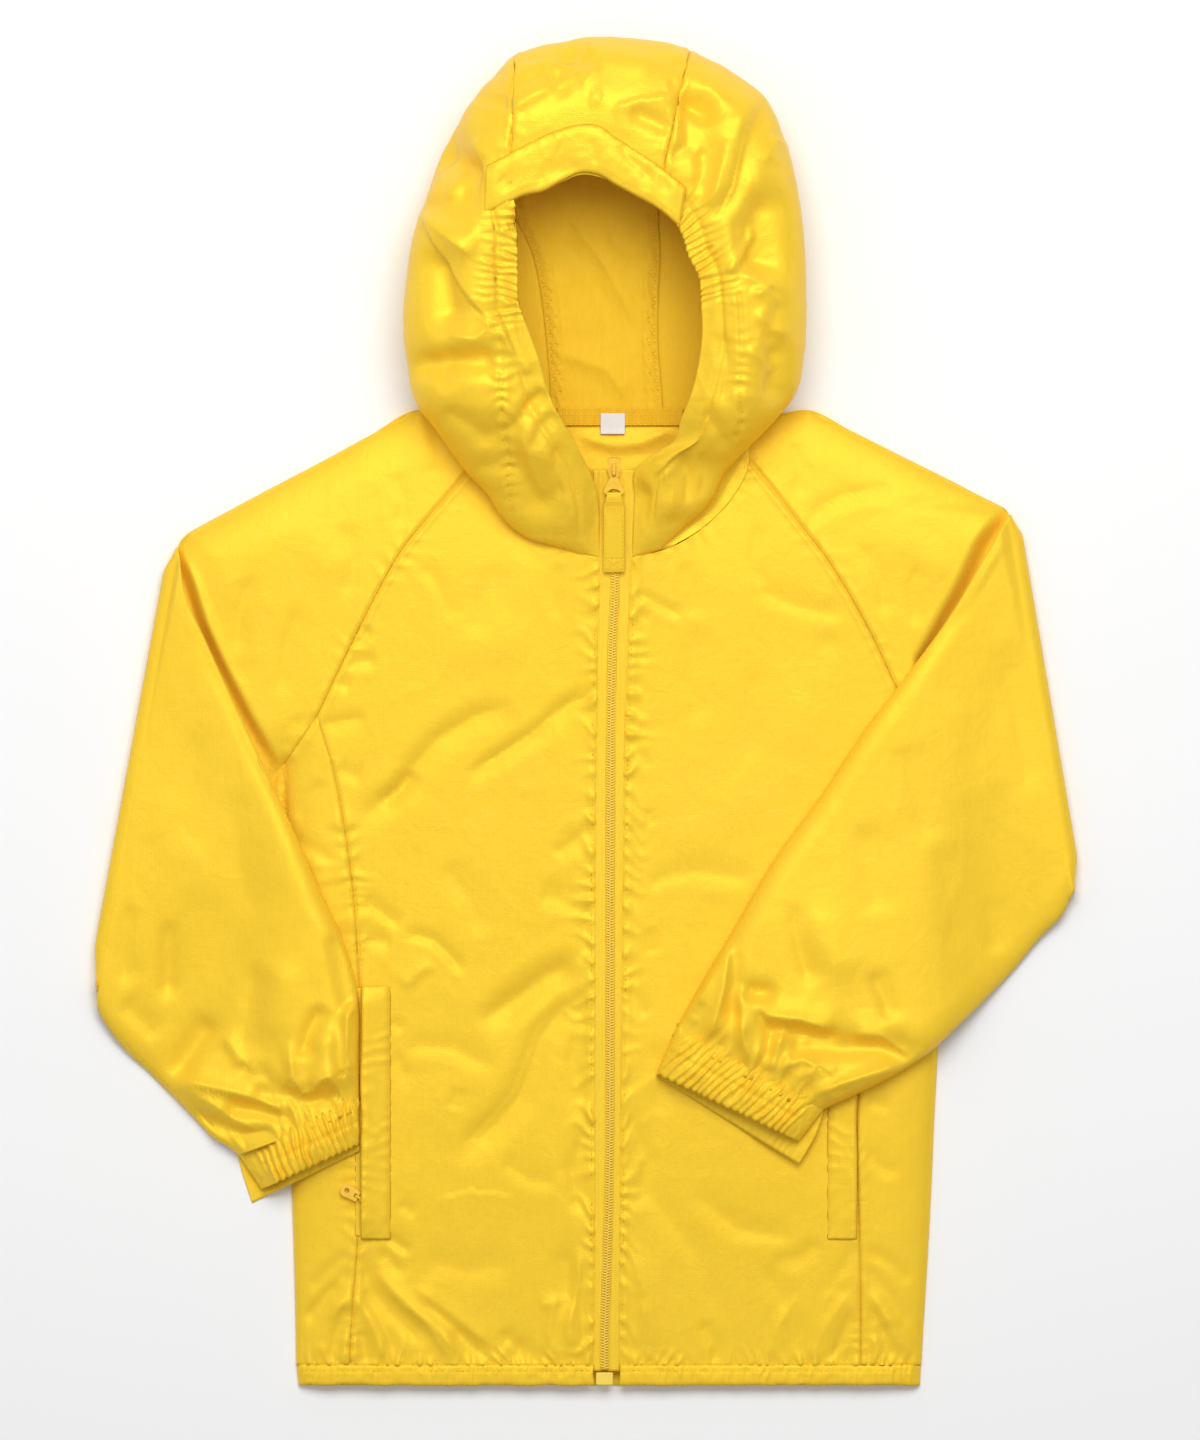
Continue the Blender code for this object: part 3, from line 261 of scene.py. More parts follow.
def spline(table, q):
    """Smooth run through the rows of a table at row places q."""
    p = np.array(table, float)
    n = len(p)
    step = np.diff(p, axis=0)
    d = np.maximum(np.linalg.norm(step, axis=1), 1e-6)[:, None]
    m = step / d
    t = np.empty_like(p)
    t[0], t[-1] = m[0], m[-1]
    if n > 2:
        t[1:-1] = (m[:-1] * d[1:] + m[1:] * d[:-1]) / (d[1:] + d[:-1])
    i = np.clip(np.floor(q).astype(int), 0, n - 2)
    f = (q - i)[:, None]
    return ((2 * f ** 3 - 3 * f ** 2 + 1) * p[i] + (f ** 3 - 2 * f ** 2 + f) * d[i] * t[i]
            + (3 * f ** 2 - 2 * f ** 3) * p[i + 1] + (f ** 3 - f ** 2) * d[i] * t[i + 1])


def rows_of(lines, mm, lo=0, hi=None):
    """Row places from lo to hi, close enough for mm spacing on every line; an odd count."""
    arr = [np.array(l, float)[:, :2] for l in lines]
    hi = len(arr[0]) - 1 if hi is None else hi
    q = []
    for k in range(lo, hi):
        far = max(np.linalg.norm(a[k + 1] - a[k]) for a in arr) * 0.55
        n = max(1, int(round(far / (mm * FINE))))
        if k == hi - 1 and (len(q) + n) % 2:
            n += 1
        q += list(k + np.arange(n) / n)
    return np.array(q + [hi])


def cells(n):
    n = max(2, int(round(n / FINE)))
    return n + n % 2


RUN_Y = np.arange(300.0, 1500.0)


def eased(values, k):
    for _ in range(2):
        values = np.convolve(np.pad(values, k, mode="edge"), np.ones(2 * k + 1) / (2 * k + 1), mode="valid")
    return values


RUN_FRONT = eased(np.interp(RUN_Y, [r[0] for r in FRONT_HEIGHT], [r[1] for r in FRONT_HEIGHT]), 34)
RUN_ZIP = eased(np.interp(RUN_Y, [r[0] for r in ZIP if r[0] >= 557], [r[4] for r in ZIP if r[0] >= 557]), 22)


def plateau(x, y, early=0.0):
    h = np.interp(y, RUN_Y, RUN_FRONT)
    near = 1 - smooth(np.abs(x - table_at(ZIP, y, 1)) / 95.0)
    h = lerp(h, np.interp(y, RUN_Y, RUN_ZIP), near)
    # the lower layer stays up until it is under the folded arm
    far = 3.6 * smooth((y - 566) / 70.0) * (early == 0.0)
    d, _, _, s = line_info(x, y, DIP_LEFT)
    left = lerp(FOLD_TOP, h, smooth((-s * d * 0.55 + early + 1.5 + far) / 7.0))
    h = np.where(x < 400, left, h)
    far = 3.6 * smooth((y - 530) / 70.0) * (early == 0.0)
    d, _, _, s = line_info(x, y, DIP_RIGHT)
    right = lerp(FOLD_TOP, h, smooth((s * d * 0.55 + early + 1.5 + far) / 9.0))
    return np.where(x > 830, right, h)


def front_top(x, y):
    x, y = np.asarray(x, float), np.asarray(y, float)
    left = np.minimum(line_mm(x, y, TOP_EDGE_LEFT), line_mm(x, y, LOW_EDGE_LEFT))
    right = np.minimum(line_mm(x, y, TOP_EDGE_RIGHT), line_mm(x, y, LOW_EDGE_RIGHT))
    d = np.where(x < 613, left, right)
    return EDGE + (plateau(x, y) - EDGE) * dome(d / ROUND)


def bearing(x, y, air, reach):
    h = plateau(x, y, 16.0) + air
    h = h + 2.6 * smooth((110 - np.abs(x - 842)) / 40.0) * smooth((y - 850) / 60.0) * smooth((1340 - y) / 40.0)
    out = h * (1 - smooth(line_mm(x, y, UNDER + UNDER[:1]) / reach))
    return np.where(inside(x, y, UNDER), h, out)


def world(x, y, z):
    return np.stack([(x - CHART_X) * STEP, (CHART_Y - y) * STEP, z * 0.001], -1)


def points(text):
    return [tuple(float(v) for v in p.split(",")) for p in text.split()]


def relief(x, y, table, gain=1.0):
    """Creases given one by one, mm. v valley, r crisp ridge, s step up on the right of its line,
    d broad dip, b broad rise. Each: kind, height, width in steps, line."""
    h = np.zeros(np.shape(x))
    for kind, amp, w, text in table:
        line = points(text)
        if len(line) == 1:
            line = line + [(line[0][0] + 0.5, line[0][1])]
        px, py = [p[0] for p in line], [p[1] for p in line]
        pad = 5 * w + 4
        m = (x > min(px) - pad) & (x < max(px) + pad) & (y > min(py) - pad) & (y < max(py) + pad)
        if not m.any():
            continue
        d, pos, length, side = line_info(x[m], y[m], line)
        t = pos / max(length, 1e-6)
        end = smooth(t / 0.22) * smooth((1 - t) / 0.22) if kind not in "db" else 1.0
        u = d / w
        if kind == "v":
            wide = np.where(side > 0, 1.0, 2.1)
            k = -np.exp(-(u / wide) ** 1.6) + 0.10 * np.exp(-((u - 2.4) / 1.1) ** 2)
        elif kind == "r":
            k = np.where(side > 0, np.exp(-u), np.exp(-u / 2.6)) - 0.12 * np.exp(-((u - 2.6) / 1.1) ** 2) * (side > 0)
        elif kind == "s":
            k = np.where(side > 0, np.exp(-d / (w * 3.2)), -0.25 * np.exp(-u) + 0.25 * np.exp(-u * 4) * 0)
            k = k * smooth(0.5 + side * u / 0.9)
        elif kind == "d":
            k = -np.exp(-u ** 2)
        else:
            k = np.exp(-u ** 2)
        h[m] += amp * k * end
    return h * gain


def puckers(x, y, line, pitch, reach, amp, seed, side=0, power=2.0):
    """Gathers that run out at right angles from a sewn line. side 0 is both sides."""
    px, py = [p[0] for p in line], [p[1] for p in line]
    h = np.zeros(np.shape(x))
    pad = reach * 4
    m = (x > min(px) - pad) & (x < max(px) + pad) & (y > min(py) - pad) & (y < max(py) + pad)
    if not m.any():
        return h
    d, pos, length, s = line_info(x[m], y[m], line)
    warp = pos + pitch * 0.9 * lattice(pos / (pitch * 2.3), d / (reach * 2.2) + 3, seed) + d * 0.25 * lattice(pos / (pitch * 3), 0 * d + 2, seed + 1)
    wave = 0.5 + 0.5 * np.cos(2 * np.pi * warp / pitch)
    long_ = reach * (1 + 0.75 * lattice(pos / (pitch * 1.1), 0 * pos + 5, seed + 2))
    k = amp * (wave ** power - 0.35) * np.exp(-(d / np.maximum(long_, 1)) ** 1.5)
    k = k * (0.75 + 0.6 * lattice(pos / (pitch * 1.7), 0 * pos + 9, seed + 3))
    if side:
        k = np.where(s * side > 0, k, 0)
    h[m] = k
    return h


def seam(x, y, line, amp=0.8, w=2.0, rise=0.35, off=5.0):
    """Sewn groove with a low ridge on both sides."""
    px, py = [p[0] for p in line], [p[1] for p in line]
    h = np.zeros(np.shape(x))
    m = (x > min(px) - 20) & (x < max(px) + 20) & (y > min(py) - 20) & (y < max(py) + 20)
    if m.any():
        d = line_info(x[m], y[m], line)[0]
        h[m] = -amp * np.exp(-(d / w) ** 2) + rise * np.exp(-((d - off) / (off * 0.5)) ** 2)
    return h


def normals(p, sign_at):
    """Unit normals of a grid; sign_at is (row, column, axis, sign)."""
    du = np.gradient(p, axis=1)
    dv = np.gradient(p, axis=0)
    n = np.cross(du, dv)
    n /= np.maximum(np.linalg.norm(n, axis=2, keepdims=True), 1e-12)
    i, j, axis, sign = sign_at
    flip = n[int(i * (p.shape[0] - 1)), int(j * (p.shape[1] - 1)), axis] * sign < 0
    return (-n if flip else n), flip


PIECES = {}


def mesh_object(name, verts, faces, mat, body="garment", node=(), slot="shell", smooth_shade=True):
    mesh = bpy.data.meshes.new(name)
    mesh.from_pydata([tuple(v) for v in verts], [], faces)
    mesh.validate()
    mesh.update()
    if smooth_shade:
        mesh.shade_smooth()
    mesh.materials.append(mat)
    obj = bpy.data.objects.new(name, mesh)
    bpy.context.scene.collection.objects.link(obj)
    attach(obj, body)
    if node:
        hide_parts(*([node] if isinstance(node, str) else node))
    PIECES[name] = obj
    return obj


def shell(name, p, n, flip, thick, mat, half=True, inside=None, **more):
    """Closed thin wall: p is the showing side in metres, n its normals; the other side is thick mm
    behind, at half the resolution when half."""
    r, c = p.shape[:2]
    st = 2 if half else 1
    q = (p - n * (thick * 0.001))[::st, ::st]
    rq, cq = q.shape[:2]
    idx = np.arange(r * c).reshape(r, c)
    jdx = np.arange(rq * cq).reshape(rq, cq) + r * c
    a, b, d, e = idx[:-1, :-1], idx[:-1, 1:], idx[1:, 1:], idx[1:, :-1]
    outer = np.stack([a, e, d, b] if not flip else [a, b, d, e], -1).reshape(-1, 4)
    a, b, d, e = jdx[:-1, :-1], jdx[:-1, 1:], jdx[1:, 1:], jdx[1:, :-1]
    inner = np.stack([a, b, d, e] if not flip else [a, e, d, b], -1).reshape(-1, 4)
    # outer faces run (a, e, d, b) when not flipped, so the rim goes round the same way reversed
    ro = np.concatenate([idx[0, :], idx[1:, -1], idx[-1, -2::-1], idx[-2:0:-1, 0]])
    rq_ = np.concatenate([jdx[0, :], jdx[1:, -1], jdx[-1, -2::-1], jdx[-2:0:-1, 0]])
    faces = outer.tolist() + inner.tolist()
    k = len(rq_)
    for i in range(k):
        qa, qb = int(rq_[i]), int(rq_[(i + 1) % k])
        run = [int(ro[(i * st + s) % len(ro)]) for s in range(st + 1)]
        face = run + [qb, qa]
        faces.append(face if not flip else face[::-1])
    verts = np.concatenate([p.reshape(-1, 3), q.reshape(-1, 3)])
    obj = mesh_object(name, verts, faces, mat, **more)
    if inside is not None:
        obj.data.materials.append(inside)
        for f in range(len(outer), len(outer) + len(inner)):
            obj.data.polygons[f].material_index = 1
    return obj


def tree_of(obj, upper=None):
    mesh = obj.data
    verts = [v.co.copy() for v in mesh.vertices]
    return BVHTree.FromPolygons(verts, [tuple(f.vertices) for f in mesh.polygons])


# ---------------------------------------------------------------- materials
def node(tree, kind, **values):
    n = tree.nodes.new(kind)
    for k, v in values.items():
        if k in n.inputs:
            n.inputs[k].default_value = v
        else:
            setattr(n, k, v)
    return n


def fabric(name, colour, shade, rough_at=0.4, weave=0.10, crinkle=0.35, cell=900.0, sheen=0.0, ribs=None, spec=0.5, metal=0.12):
    m = bpy.data.materials.new(name)
    m.use_nodes = True
    t = m.node_tree
    link = t.links.new
    bsdf = t.nodes["Principled BSDF"]
    co = node(t, "ShaderNodeTexCoord").outputs["Object"]
    # broad and fine colour variation
    big = node(t, "ShaderNodeTexNoise", Scale=14.0, Detail=4.0, Roughness=0.6)
    link(co, big.inputs["Vector"])
    stretch = node(t, "ShaderNodeMapping")
    stretch.inputs["Scale"].default_value = (1.0, 0.16, 1.0)
    link(co, stretch.inputs["Vector"])
    streak = node(t, "ShaderNodeTexNoise", Scale=620.0, Detail=3.0, Roughness=0.7)
    link(stretch.outputs["Vector"], streak.inputs["Vector"])
    mixf = node(t, "ShaderNodeMath", operation="MULTIPLY_ADD")
    mixf.inputs[1].default_value = 0.55
    link(streak.outputs["Fac"], mixf.inputs[0])
    half = node(t, "ShaderNodeMath", operation="MULTIPLY")
    half.inputs[1].default_value = 0.45
    link(big.outputs["Fac"], half.inputs[0])
    link(half.outputs[0], mixf.inputs[2])
    ramp = node(t, "ShaderNodeValToRGB")
    ramp.color_ramp.elements[0].position = 0.34
    ramp.color_ramp.elements[0].color = (*shade, 1)
    ramp.color_ramp.elements[1].position = 0.62
    ramp.color_ramp.elements[1].color = (*colour, 1)
    link(mixf.outputs[0], ramp.inputs["Fac"])
    link(ramp.outputs["Color"], bsdf.inputs["Base Color"])
    # gloss
    gloss = node(t, "ShaderNodeMapRange")
    gloss.inputs["To Min"].default_value = rough_at - 0.06
    gloss.inputs["To Max"].default_value = rough_at + 0.1
    link(streak.outputs["Fac"], gloss.inputs["Value"])
    link(gloss.outputs["Result"], bsdf.inputs["Roughness"])
    bsdf.inputs["Specular IOR Level"].default_value = spec
    bsdf.inputs["Specular Tint"].default_value = (1.0, 0.66, 0.12, 1)
    bsdf.inputs["Metallic"].default_value = metal
    bsdf.inputs["Sheen Weight"].default_value = sheen
    bsdf.inputs["Sheen Roughness"].default_value = 0.4
    bsdf.inputs["Sheen Tint"].default_value = (1.0, 0.8, 0.35, 1)
    # weave: threads both ways, then small crinkles
    wx = node(t, "ShaderNodeTexWave", wave_type="BANDS", bands_direction="X", Scale=cell * 0.32, Distortion=0.4, Detail=1.0)
    wy = node(t, "ShaderNodeTexWave", wave_type="BANDS", bands_direction="Y", Scale=cell * 0.32, Distortion=0.4, Detail=1.0)
    link(co, wx.inputs["Vector"])
    link(co, wy.inputs["Vector"])
    cross = node(t, "ShaderNodeMath", operation="ADD")
    link(wx.outputs["Fac"], cross.inputs[0])
    link(wy.outputs["Fac"], cross.inputs[1])
    b1 = node(t, "ShaderNodeBump", Strength=weave, Distance=0.0003)
    link(cross.outputs[0], b1.inputs["Height"])
    small = node(t, "ShaderNodeTexNoise", Scale=95.0, Detail=5.0, Roughness=0.62, Distortion=0.6)
    link(co, small.inputs["Vector"])
    b2 = node(t, "ShaderNodeBump", Strength=crinkle, Distance=0.0016)
    link(small.outputs["Fac"], b2.inputs["Height"])
    link(b1.outputs["Normal"], b2.inputs["Normal"])
    last = b2
    if ribs:
        axis, scale, depth = ribs
        w = node(t, "ShaderNodeTexWave", wave_type="BANDS", bands_direction=axis, Scale=scale, Distortion=1.2, Detail=2.0)
        link(co, w.inputs["Vector"])
        b3 = node(t, "ShaderNodeBump", Strength=depth, Distance=0.0006)
        link(w.outputs["Fac"], b3.inputs["Height"])
        link(last.outputs["Normal"], b3.inputs["Normal"])
        last = b3
    link(last.outputs["Normal"], bsdf.inputs["Normal"])
    return m


def enamel(name, colour, shade, rough_at=0.28, scale=260.0, coat=0.4):
    m = bpy.data.materials.new(name)
    m.use_nodes = True
    t = m.node_tree
    link = t.links.new
    bsdf = t.nodes["Principled BSDF"]
    co = node(t, "ShaderNodeTexCoord").outputs["Object"]
    n = node(t, "ShaderNodeTexNoise", Scale=scale, Detail=4.0)
    link(co, n.inputs["Vector"])
    ramp = node(t, "ShaderNodeValToRGB")
    ramp.color_ramp.elements[0].position = 0.35
    ramp.color_ramp.elements[0].color = (*shade, 1)
    ramp.color_ramp.elements[1].position = 0.6
    ramp.color_ramp.elements[1].color = (*colour, 1)
    link(n.outputs["Fac"], ramp.inputs["Fac"])
    link(ramp.outputs["Color"], bsdf.inputs["Base Color"])
    g = node(t, "ShaderNodeMapRange")
    g.inputs["To Min"].default_value = rough_at - 0.05
    g.inputs["To Max"].default_value = rough_at + 0.12
    link(n.outputs["Fac"], g.inputs["Value"])
    link(g.outputs["Result"], bsdf.inputs["Roughness"])
    bsdf.inputs["Coat Weight"].default_value = coat
    b = node(t, "ShaderNodeBump", Strength=0.12, Distance=0.0003)
    link(n.outputs["Fac"], b.inputs["Height"])
    link(b.outputs["Normal"], bsdf.inputs["Normal"])
    return m


YELLOW, DEEP = (1.0, 0.655, 0.044), (0.965, 0.622, 0.038)
SHELL = fabric("nylon_shell", YELLOW, DEEP, rough_at=0.42, crinkle=0.25)
HOODED = fabric("nylon_hood", YELLOW, DEEP, rough_at=0.37, crinkle=0.35, metal=0.14, spec=0.42)
# inner faces of the hood: the duller wrong side of the cloth, its colour also darkened as painted shade for the hollow
# of the hood
WRONG_SIDE_AND_SHADE = fabric("nylon_wrong_side_and_painted_shade", (0.97, 0.625, 0.035), (0.91, 0.57, 0.028), rough_at=0.46, crinkle=0.3, metal=0.0, spec=0.4)
BOUND = fabric("elastic_binding", (1.0, 0.655, 0.042), (0.96, 0.61, 0.034), rough_at=0.42, crinkle=0.3, cell=1300)
TAPE = fabric("zip_tape", (1.0, 0.69, 0.055), (0.97, 0.64, 0.045), rough_at=0.55, weave=0.25, crinkle=0.15, ribs=("X", 420.0, 0.15), spec=0.3, metal=0.0)
# stitch thread: the thread's own yellow, darkened as painted shade of the needle holes it sits in
THREAD_AND_HOLE_SHADE = fabric("thread_and_hole_shade", (0.92, 0.54, 0.028), (0.84, 0.48, 0.022), rough_at=0.45, weave=0.15, crinkle=0.1, cell=2400, metal=0.1)
LABEL = fabric("label_satin", (0.9, 0.9, 0.86), (0.8, 0.8, 0.75), rough_at=0.45, crinkle=0.1, cell=1600, metal=0.0)
LABEL.node_tree.nodes["Principled BSDF"].inputs["Specular Tint"].default_value = (1, 1, 1, 1)
NEEDLE = fabric("tape_zigzag", (0.98, 0.60, 0.034), (0.85, 0.49, 0.02), rough_at=0.55, weave=0.4, crinkle=0.2, cell=700, metal=0.0)
METAL = enamel("zip_enamel", (1.0, 0.62, 0.04), (0.95, 0.57, 0.03))
TEETH = enamel("coil_nylon", (1.0, 0.75, 0.10), (1.0, 0.70, 0.08), rough_at=0.5, scale=700, coat=0.0)


# ---------------------------------------------------------------- creases read off the cloth
FRONT_L = [
    ("v", 1.5, 5, "352,649 362,637 372,628"), ("v", 1.3, 5, "343,665 360,663 378,660"), ("v", 1.2, 5, "335,682 352,688"),
    ("v", 2.4, 6, "596,684 566,705 536,733 518,744 475,772 460,780"), ("s", 1.3, 4, "470,772 500,756 536,730 566,703"),
    ("v", 2.2, 8, "520,702 475,716 436,740 414,766 408,779 378,805 350,829"), ("v", 2.0, 5, "412,768 400,788 378,805"),
    ("v", 1.0, 6, "369,717 345,720 321,725"), ("v", 0.9, 6, "336,767 362,780"), ("v", 1.2, 6, "594,828 573,840 551,856"),
    ("v", 1.1, 8, "538,893 560,900 583,910"), ("d", 1.2, 10, "585,915 583,950"),
    ("v", 1.5, 5, "361,897 380,912 402,928"), ("v", 1.6, 4, "402,937 418,936 434,941 446,952 466,976"),
    ("r", 1.3, 4, "401,990 419,972 436,964"), ("v", 1.2, 6, "365,940 392,943"),
    ("v", 2.3, 9, "583,960 547,974 518,996 473,1027"), ("d", 1.6, 16, "560,975 510,1005"),
    ("v", 3.4, 9, "594,988 562,1009 540,1035 529,1068 518,1096 497,1120 475,1140 451,1167"),
    ("s", 1.2, 5, "451,1160 497,1112 514,1090 526,1060 536,1030 560,1003"),
    ("v", 1.0, 7, "399,1048 428,1046 453,1048 499,1075"), ("v", 0.8, 5, "458,1087 451,1110"), ("v", 0.9, 5, "399,1203 416,1216"),
    ("v", 0.8, 4, "390,1022 404,1030"), ("d", 0.9, 8, "398,1062 404,1074"),
    ("v", 2.0, 4, "384,1236 396,1244 410,1254"), ("d", 1.6, 8, "386,1256 396,1268"),
    ("v", 1.8, 6, "360,1250 367,1282 393,1316 427,1349"), ("r", 1.6, 4, "372,1268 401,1303 432,1325 464,1361"),
    ("v", 1.4, 5, "452,1328 466,1349 480,1365"), ("d", 1.7, 12, "566,1262 566,1298"), ("r", 2.1, 4, "577,1243 579,1282 568,1325 570,1362"),
    ("r", 1.2, 4, "538,1308 572,1298"), ("d", 1.1, 9, "524,1348 536,1358"), ("v", 0.9, 9, "440,860 470,900 480,940"),
    ("v", 0.9, 10, "420,1260 470,1270 520,1262"), ("b", 0.8, 26, "470,650 500,640"), ("b", 0.9, 24, "470,1080 450,1100"),
    ("v", 1.1, 6, "598,900 588,930 590,960"), ("v", 0.7, 8, "500,560 480,600 470,640"), ("v", 0.8, 6, "420,560 440,590 452,625"),
    ("v", 1.8, 5, "358,1284 380,1318 398,1364"), ("r", 1.9, 4, "362,1306 376,1334 386,1364"), ("v", 1.6, 4, "357,1330 364,1348 368,1366"),
    ("r", 1.8, 4, "388,1284 428,1326 452,1364"), ("r", 1.6, 4, "410,1284 452,1316 496,1350"), ("v", 1.5, 5, "420,1298 456,1330 492,1364"),
    ("v", 1.6, 5, "500,1330 516,1348 520,1366"), ("r", 1.5, 4, "556,1290 548,1330 552,1366"), ("v", 1.6, 5, "590,1250 580,1300 586,1350"),
    ("v", 1.8, 8, "590,1120 572,1170 580,1220"), ("d", 1.8, 12, "586,1010 574,1060 582,1100"), ("v", 0.8, 5, "560,560 552,590 556,622"), ("s", 0.6, 5, "430,1200 470,1190 520,1196"), ("v", 0.9, 7, "500,1160 530,1180 560,1184"),
]
FRONT_R = [
    ("r", 1.7, 4, "850,1290 826,1326 806,1364"), ("v", 1.6, 5, "856,1306 840,1338 832,1366"), ("r", 1.5, 4, "800,1290 776,1330 764,1366"),
    ("v", 1.5, 5, "700,1320 716,1346 712,1366"), ("r", 1.6, 4, "632,1250 644,1300 640,1350"), ("v", 1.6, 6, "628,1110 646,1160 640,1210"),
    ("v", 1.2, 7, "752,583 786,603 828,614 851,612"), ("d", 0.9, 12, "828,642"), ("v", 1.3, 7, "655,878 696,871 742,878 758,873"),
    ("v", 0.9, 5, "649,886 669,876"), ("v", 1.6, 4, "630,590 655,603 684,618"), ("v", 1.1, 4, "630,609 650,622"),
    ("v", 0.9, 4, "630,655 650,661"), ("v", 1.0, 4, "629,683 650,697"), ("v", 1.1, 4, "627,740 650,770"), ("v", 0.9, 4, "646,810 652,826"),
    ("v", 1.0, 4, "625,974 641,984"), ("v", 1.2, 5, "625,988 641,1009 650,1018"), ("v", 1.0, 5, "646,928 652,956"),
    ("v", 1.0, 9, "700,620 690,680 700,730"), ("v", 0.9, 9, "760,660 745,720 752,770"), ("b", 0.9, 28, "740,800 700,840"),
    ("v", 1.1, 8, "650,1040 664,1080 655,1120"), ("v", 1.4, 8, "690,1190 740,1230 800,1240"), ("v", 1.1, 8, "640,1180 700,1260 720,1330"),
    ("v", 1.0, 7, "760,1260 790,1310 800,1360"), ("v", 1.2, 6, "822,1240 800,1256 770,1262"), ("r", 1.0, 4, "640,1300 652,1330 648,1362"),
    ("v", 0.9, 6, "860,1240 842,1270 830,1300"), ("r", 0.9, 4, "855,1262 826,1300 812,1345"), ("v", 0.8, 6, "680,560 692,590 690,620"),
    ("v", 0.8, 6, "760,520 752,560 762,590"), ("b", 0.8, 30, "780,700 800,720"),
]
STRIP_L = [
    ("r", 1.9, 3.5, "352,1290 330,1316 312,1362"), ("v", 1.7, 4, "350,1302 336,1332 330,1364"), ("r", 1.7, 3.5, "347,1332 342,1350 345,1366"),
    ("v", 1.5, 4, "338,1280 316,1304 302,1320"),
    ("v", 1.5, 5, "296,822 308,802 325,780"), ("d", 1.3, 8, "300,842 330,860"), ("r", 1.3, 3.5, "307,866 343,866 352,861"),
    ("r", 1.2, 3.5, "313,884 325,879 352,874"), ("v", 1.2, 5, "352,1250 330,1268 306,1292"), ("v", 1.4, 5, "354,1262 332,1290 302,1331"),
    ("v", 1.1, 5, "334,1314 326,1328 319,1349"), ("r", 1.3, 3.5, "327,1309 355,1301 368,1314"), ("v", 0.8, 5, "345,930 325,940"),
]
STRIP_R = [
    ("r", 1.7, 3.5, "866,1290 886,1318 908,1360"), ("v", 1.5, 4, "868,1306 882,1334 890,1364"), ("r", 1.5, 3.5, "872,1334 876,1350 872,1366"),
    ("v", 1.0, 5, "866,1150 884,1170 900,1176"), ("v", 1.1, 5, "864,1250 888,1262 912,1286"), ("v", 1.2, 5, "864,1262 884,1292 908,1330"),
    ("v", 0.9, 5, "868,1100 890,1110"), ("r", 1.0, 3.5, "870,1330 888,1320 906,1322"),
]
CAP_L = [
    ("v", 1.4, 7, "260,572 246,590 240,612 238,657"), ("v", 1.0, 4, "184,646 196,650 210,652"), ("v", 1.3, 9, "188,545 220,620 250,702"),
    ("v", 0.9, 6, "340,520 352,560 346,600"), ("v", 0.8, 6, "392,470 404,500 398,530"), ("v", 1.1, 6, "300,600 285,650 280,700"),
    ("b", 0.9, 20, "310,540 330,560"), ("v", 0.8, 5, "318,716 300,724 286,720"), ("v", 0.8, 7, "430,430 440,455 436,480"),
]
CAP_R = [
    ("v", 1.5, 6, "804,522 824,510 847,499 898,490"), ("s", 0.9, 4, "812,512 847,495 890,488"), ("v", 1.0, 5, "900,505 950,503 1013,510"),
    ("v", 1.0, 7, "860,540 880,580 884,620"), ("v", 0.9, 6, "920,560 910,590 915,630"), ("b", 0.9, 22, "900,540 930,560"),
    ("v", 0.8, 6, "790,440 800,470 795,500"),
]
ARM_L = [
    ("d", 1.5, 10, "168,934 168,985"), ("d", 1.6, 9, "334,946 346,1000"), ("v", 1.8, 6, "322,1003 310,1030 300,1060"),
    ("d", 1.5, 16, "180,1066 204,1030"), ("v", 1.1, 7, "176,1080 196,1046 214,1018"), ("r", 2.6, 4, "171,1079 223,1090 260,1100 284,1112 298,1121"),
    ("r", 2.2, 4, "171,1081 211,1104 235,1121 266,1134"), ("d", 2.6, 9, "236,1108 284,1114"), ("d", 2.8, 10, "200,1118 262,1138"),
    ("r", 2.6, 4, "288,1038 292,1078 302,1094 313,1092 321,1080 331,1076 333,1100"), ("d", 2.6, 10, "264,1094 328,1098"),
    ("b", 2.6, 14, "325,1044 328,1076"), ("r", 2.4, 3.5, "361,994 347,1016 347,1051 351,1088"), ("r", 2.0, 3.5, "364,1018 358,1061 360,1098"),
    ("v", 1.0, 12, "200,720 190,790 176,860"), ("v", 0.9, 14, "232,780 240,860 262,930"), ("b", 0.9, 26, "180,820 200,880"),
    ("v", 1.1, 9, "258,960 250,1010 240,1060"), ("b", 1.2, 18, "280,980 275,1020"), ("v", 0.9, 8, "130,900 122,950 128,990"),
    ("v", 0.8, 7, "120,1000 140,1020 158,1040"), ("v", 1.1, 5, "236,1066 262,1074 282,1090"), ("r", 1.4, 4, "222,1032 240,1060 264,1078"),
]
ARM_R = [
    ("v", 0.55, 11, "938,838 948,895 957,957"), ("v", 0.45, 11, "988,895 990,925 991,957"),
     ("d", 2.4, 10, "733,960 733,1012"), ("r", 2.8, 4.5, "728,937 712,975 697,1000 680,1021"),
    ("r", 2.6, 4, "729,939 724,985 716,1015 706,1043"), ("r", 2.7, 4, "744,981 740,995 742,1036 751,1070"), ("d", 2.6, 9, "752,992 764,992"),
    ("v", 1.8, 4, "756,1006 770,1036 765,1067"), ("r", 2.8, 4.5, "754,1003 768,1016 802,1020 840,1034"), ("d", 2.0, 7, "776,1030 830,1034"),
    ("r", 2.0, 4, "784,1026 773,1053 767,1073"), ("d", 3.4, 13, "800,1046 900,1048"), ("r", 2.2, 4, "849,1034 881,1036 912,1057"),
    ("r", 1.8, 3.5, "781,1069 802,1059 815,1066 801,1081"), ("r", 2.2, 4, "906,1063 843,1082 812,1095"), ("r", 1.8, 4, "905,1074 855,1097 821,1107"),
    ("v", 1.0, 12, "900,740 920,800 925,850"), ("v", 1.0, 12, "1000,640 1020,720 1030,800"), ("v", 0.9, 12, "860,820 870,880 880,920"),
    ("b", 1.0, 26, "960,720 980,780"), ("b", 1.3, 20, "820,930 840,960"), ("v", 1.1, 8, "790,900 800,950 812,990"),
    ("v", 1.0, 7, "870,970 884,1000 890,1024"), ("v", 0.9, 6, "700,1000 690,1016"),
]
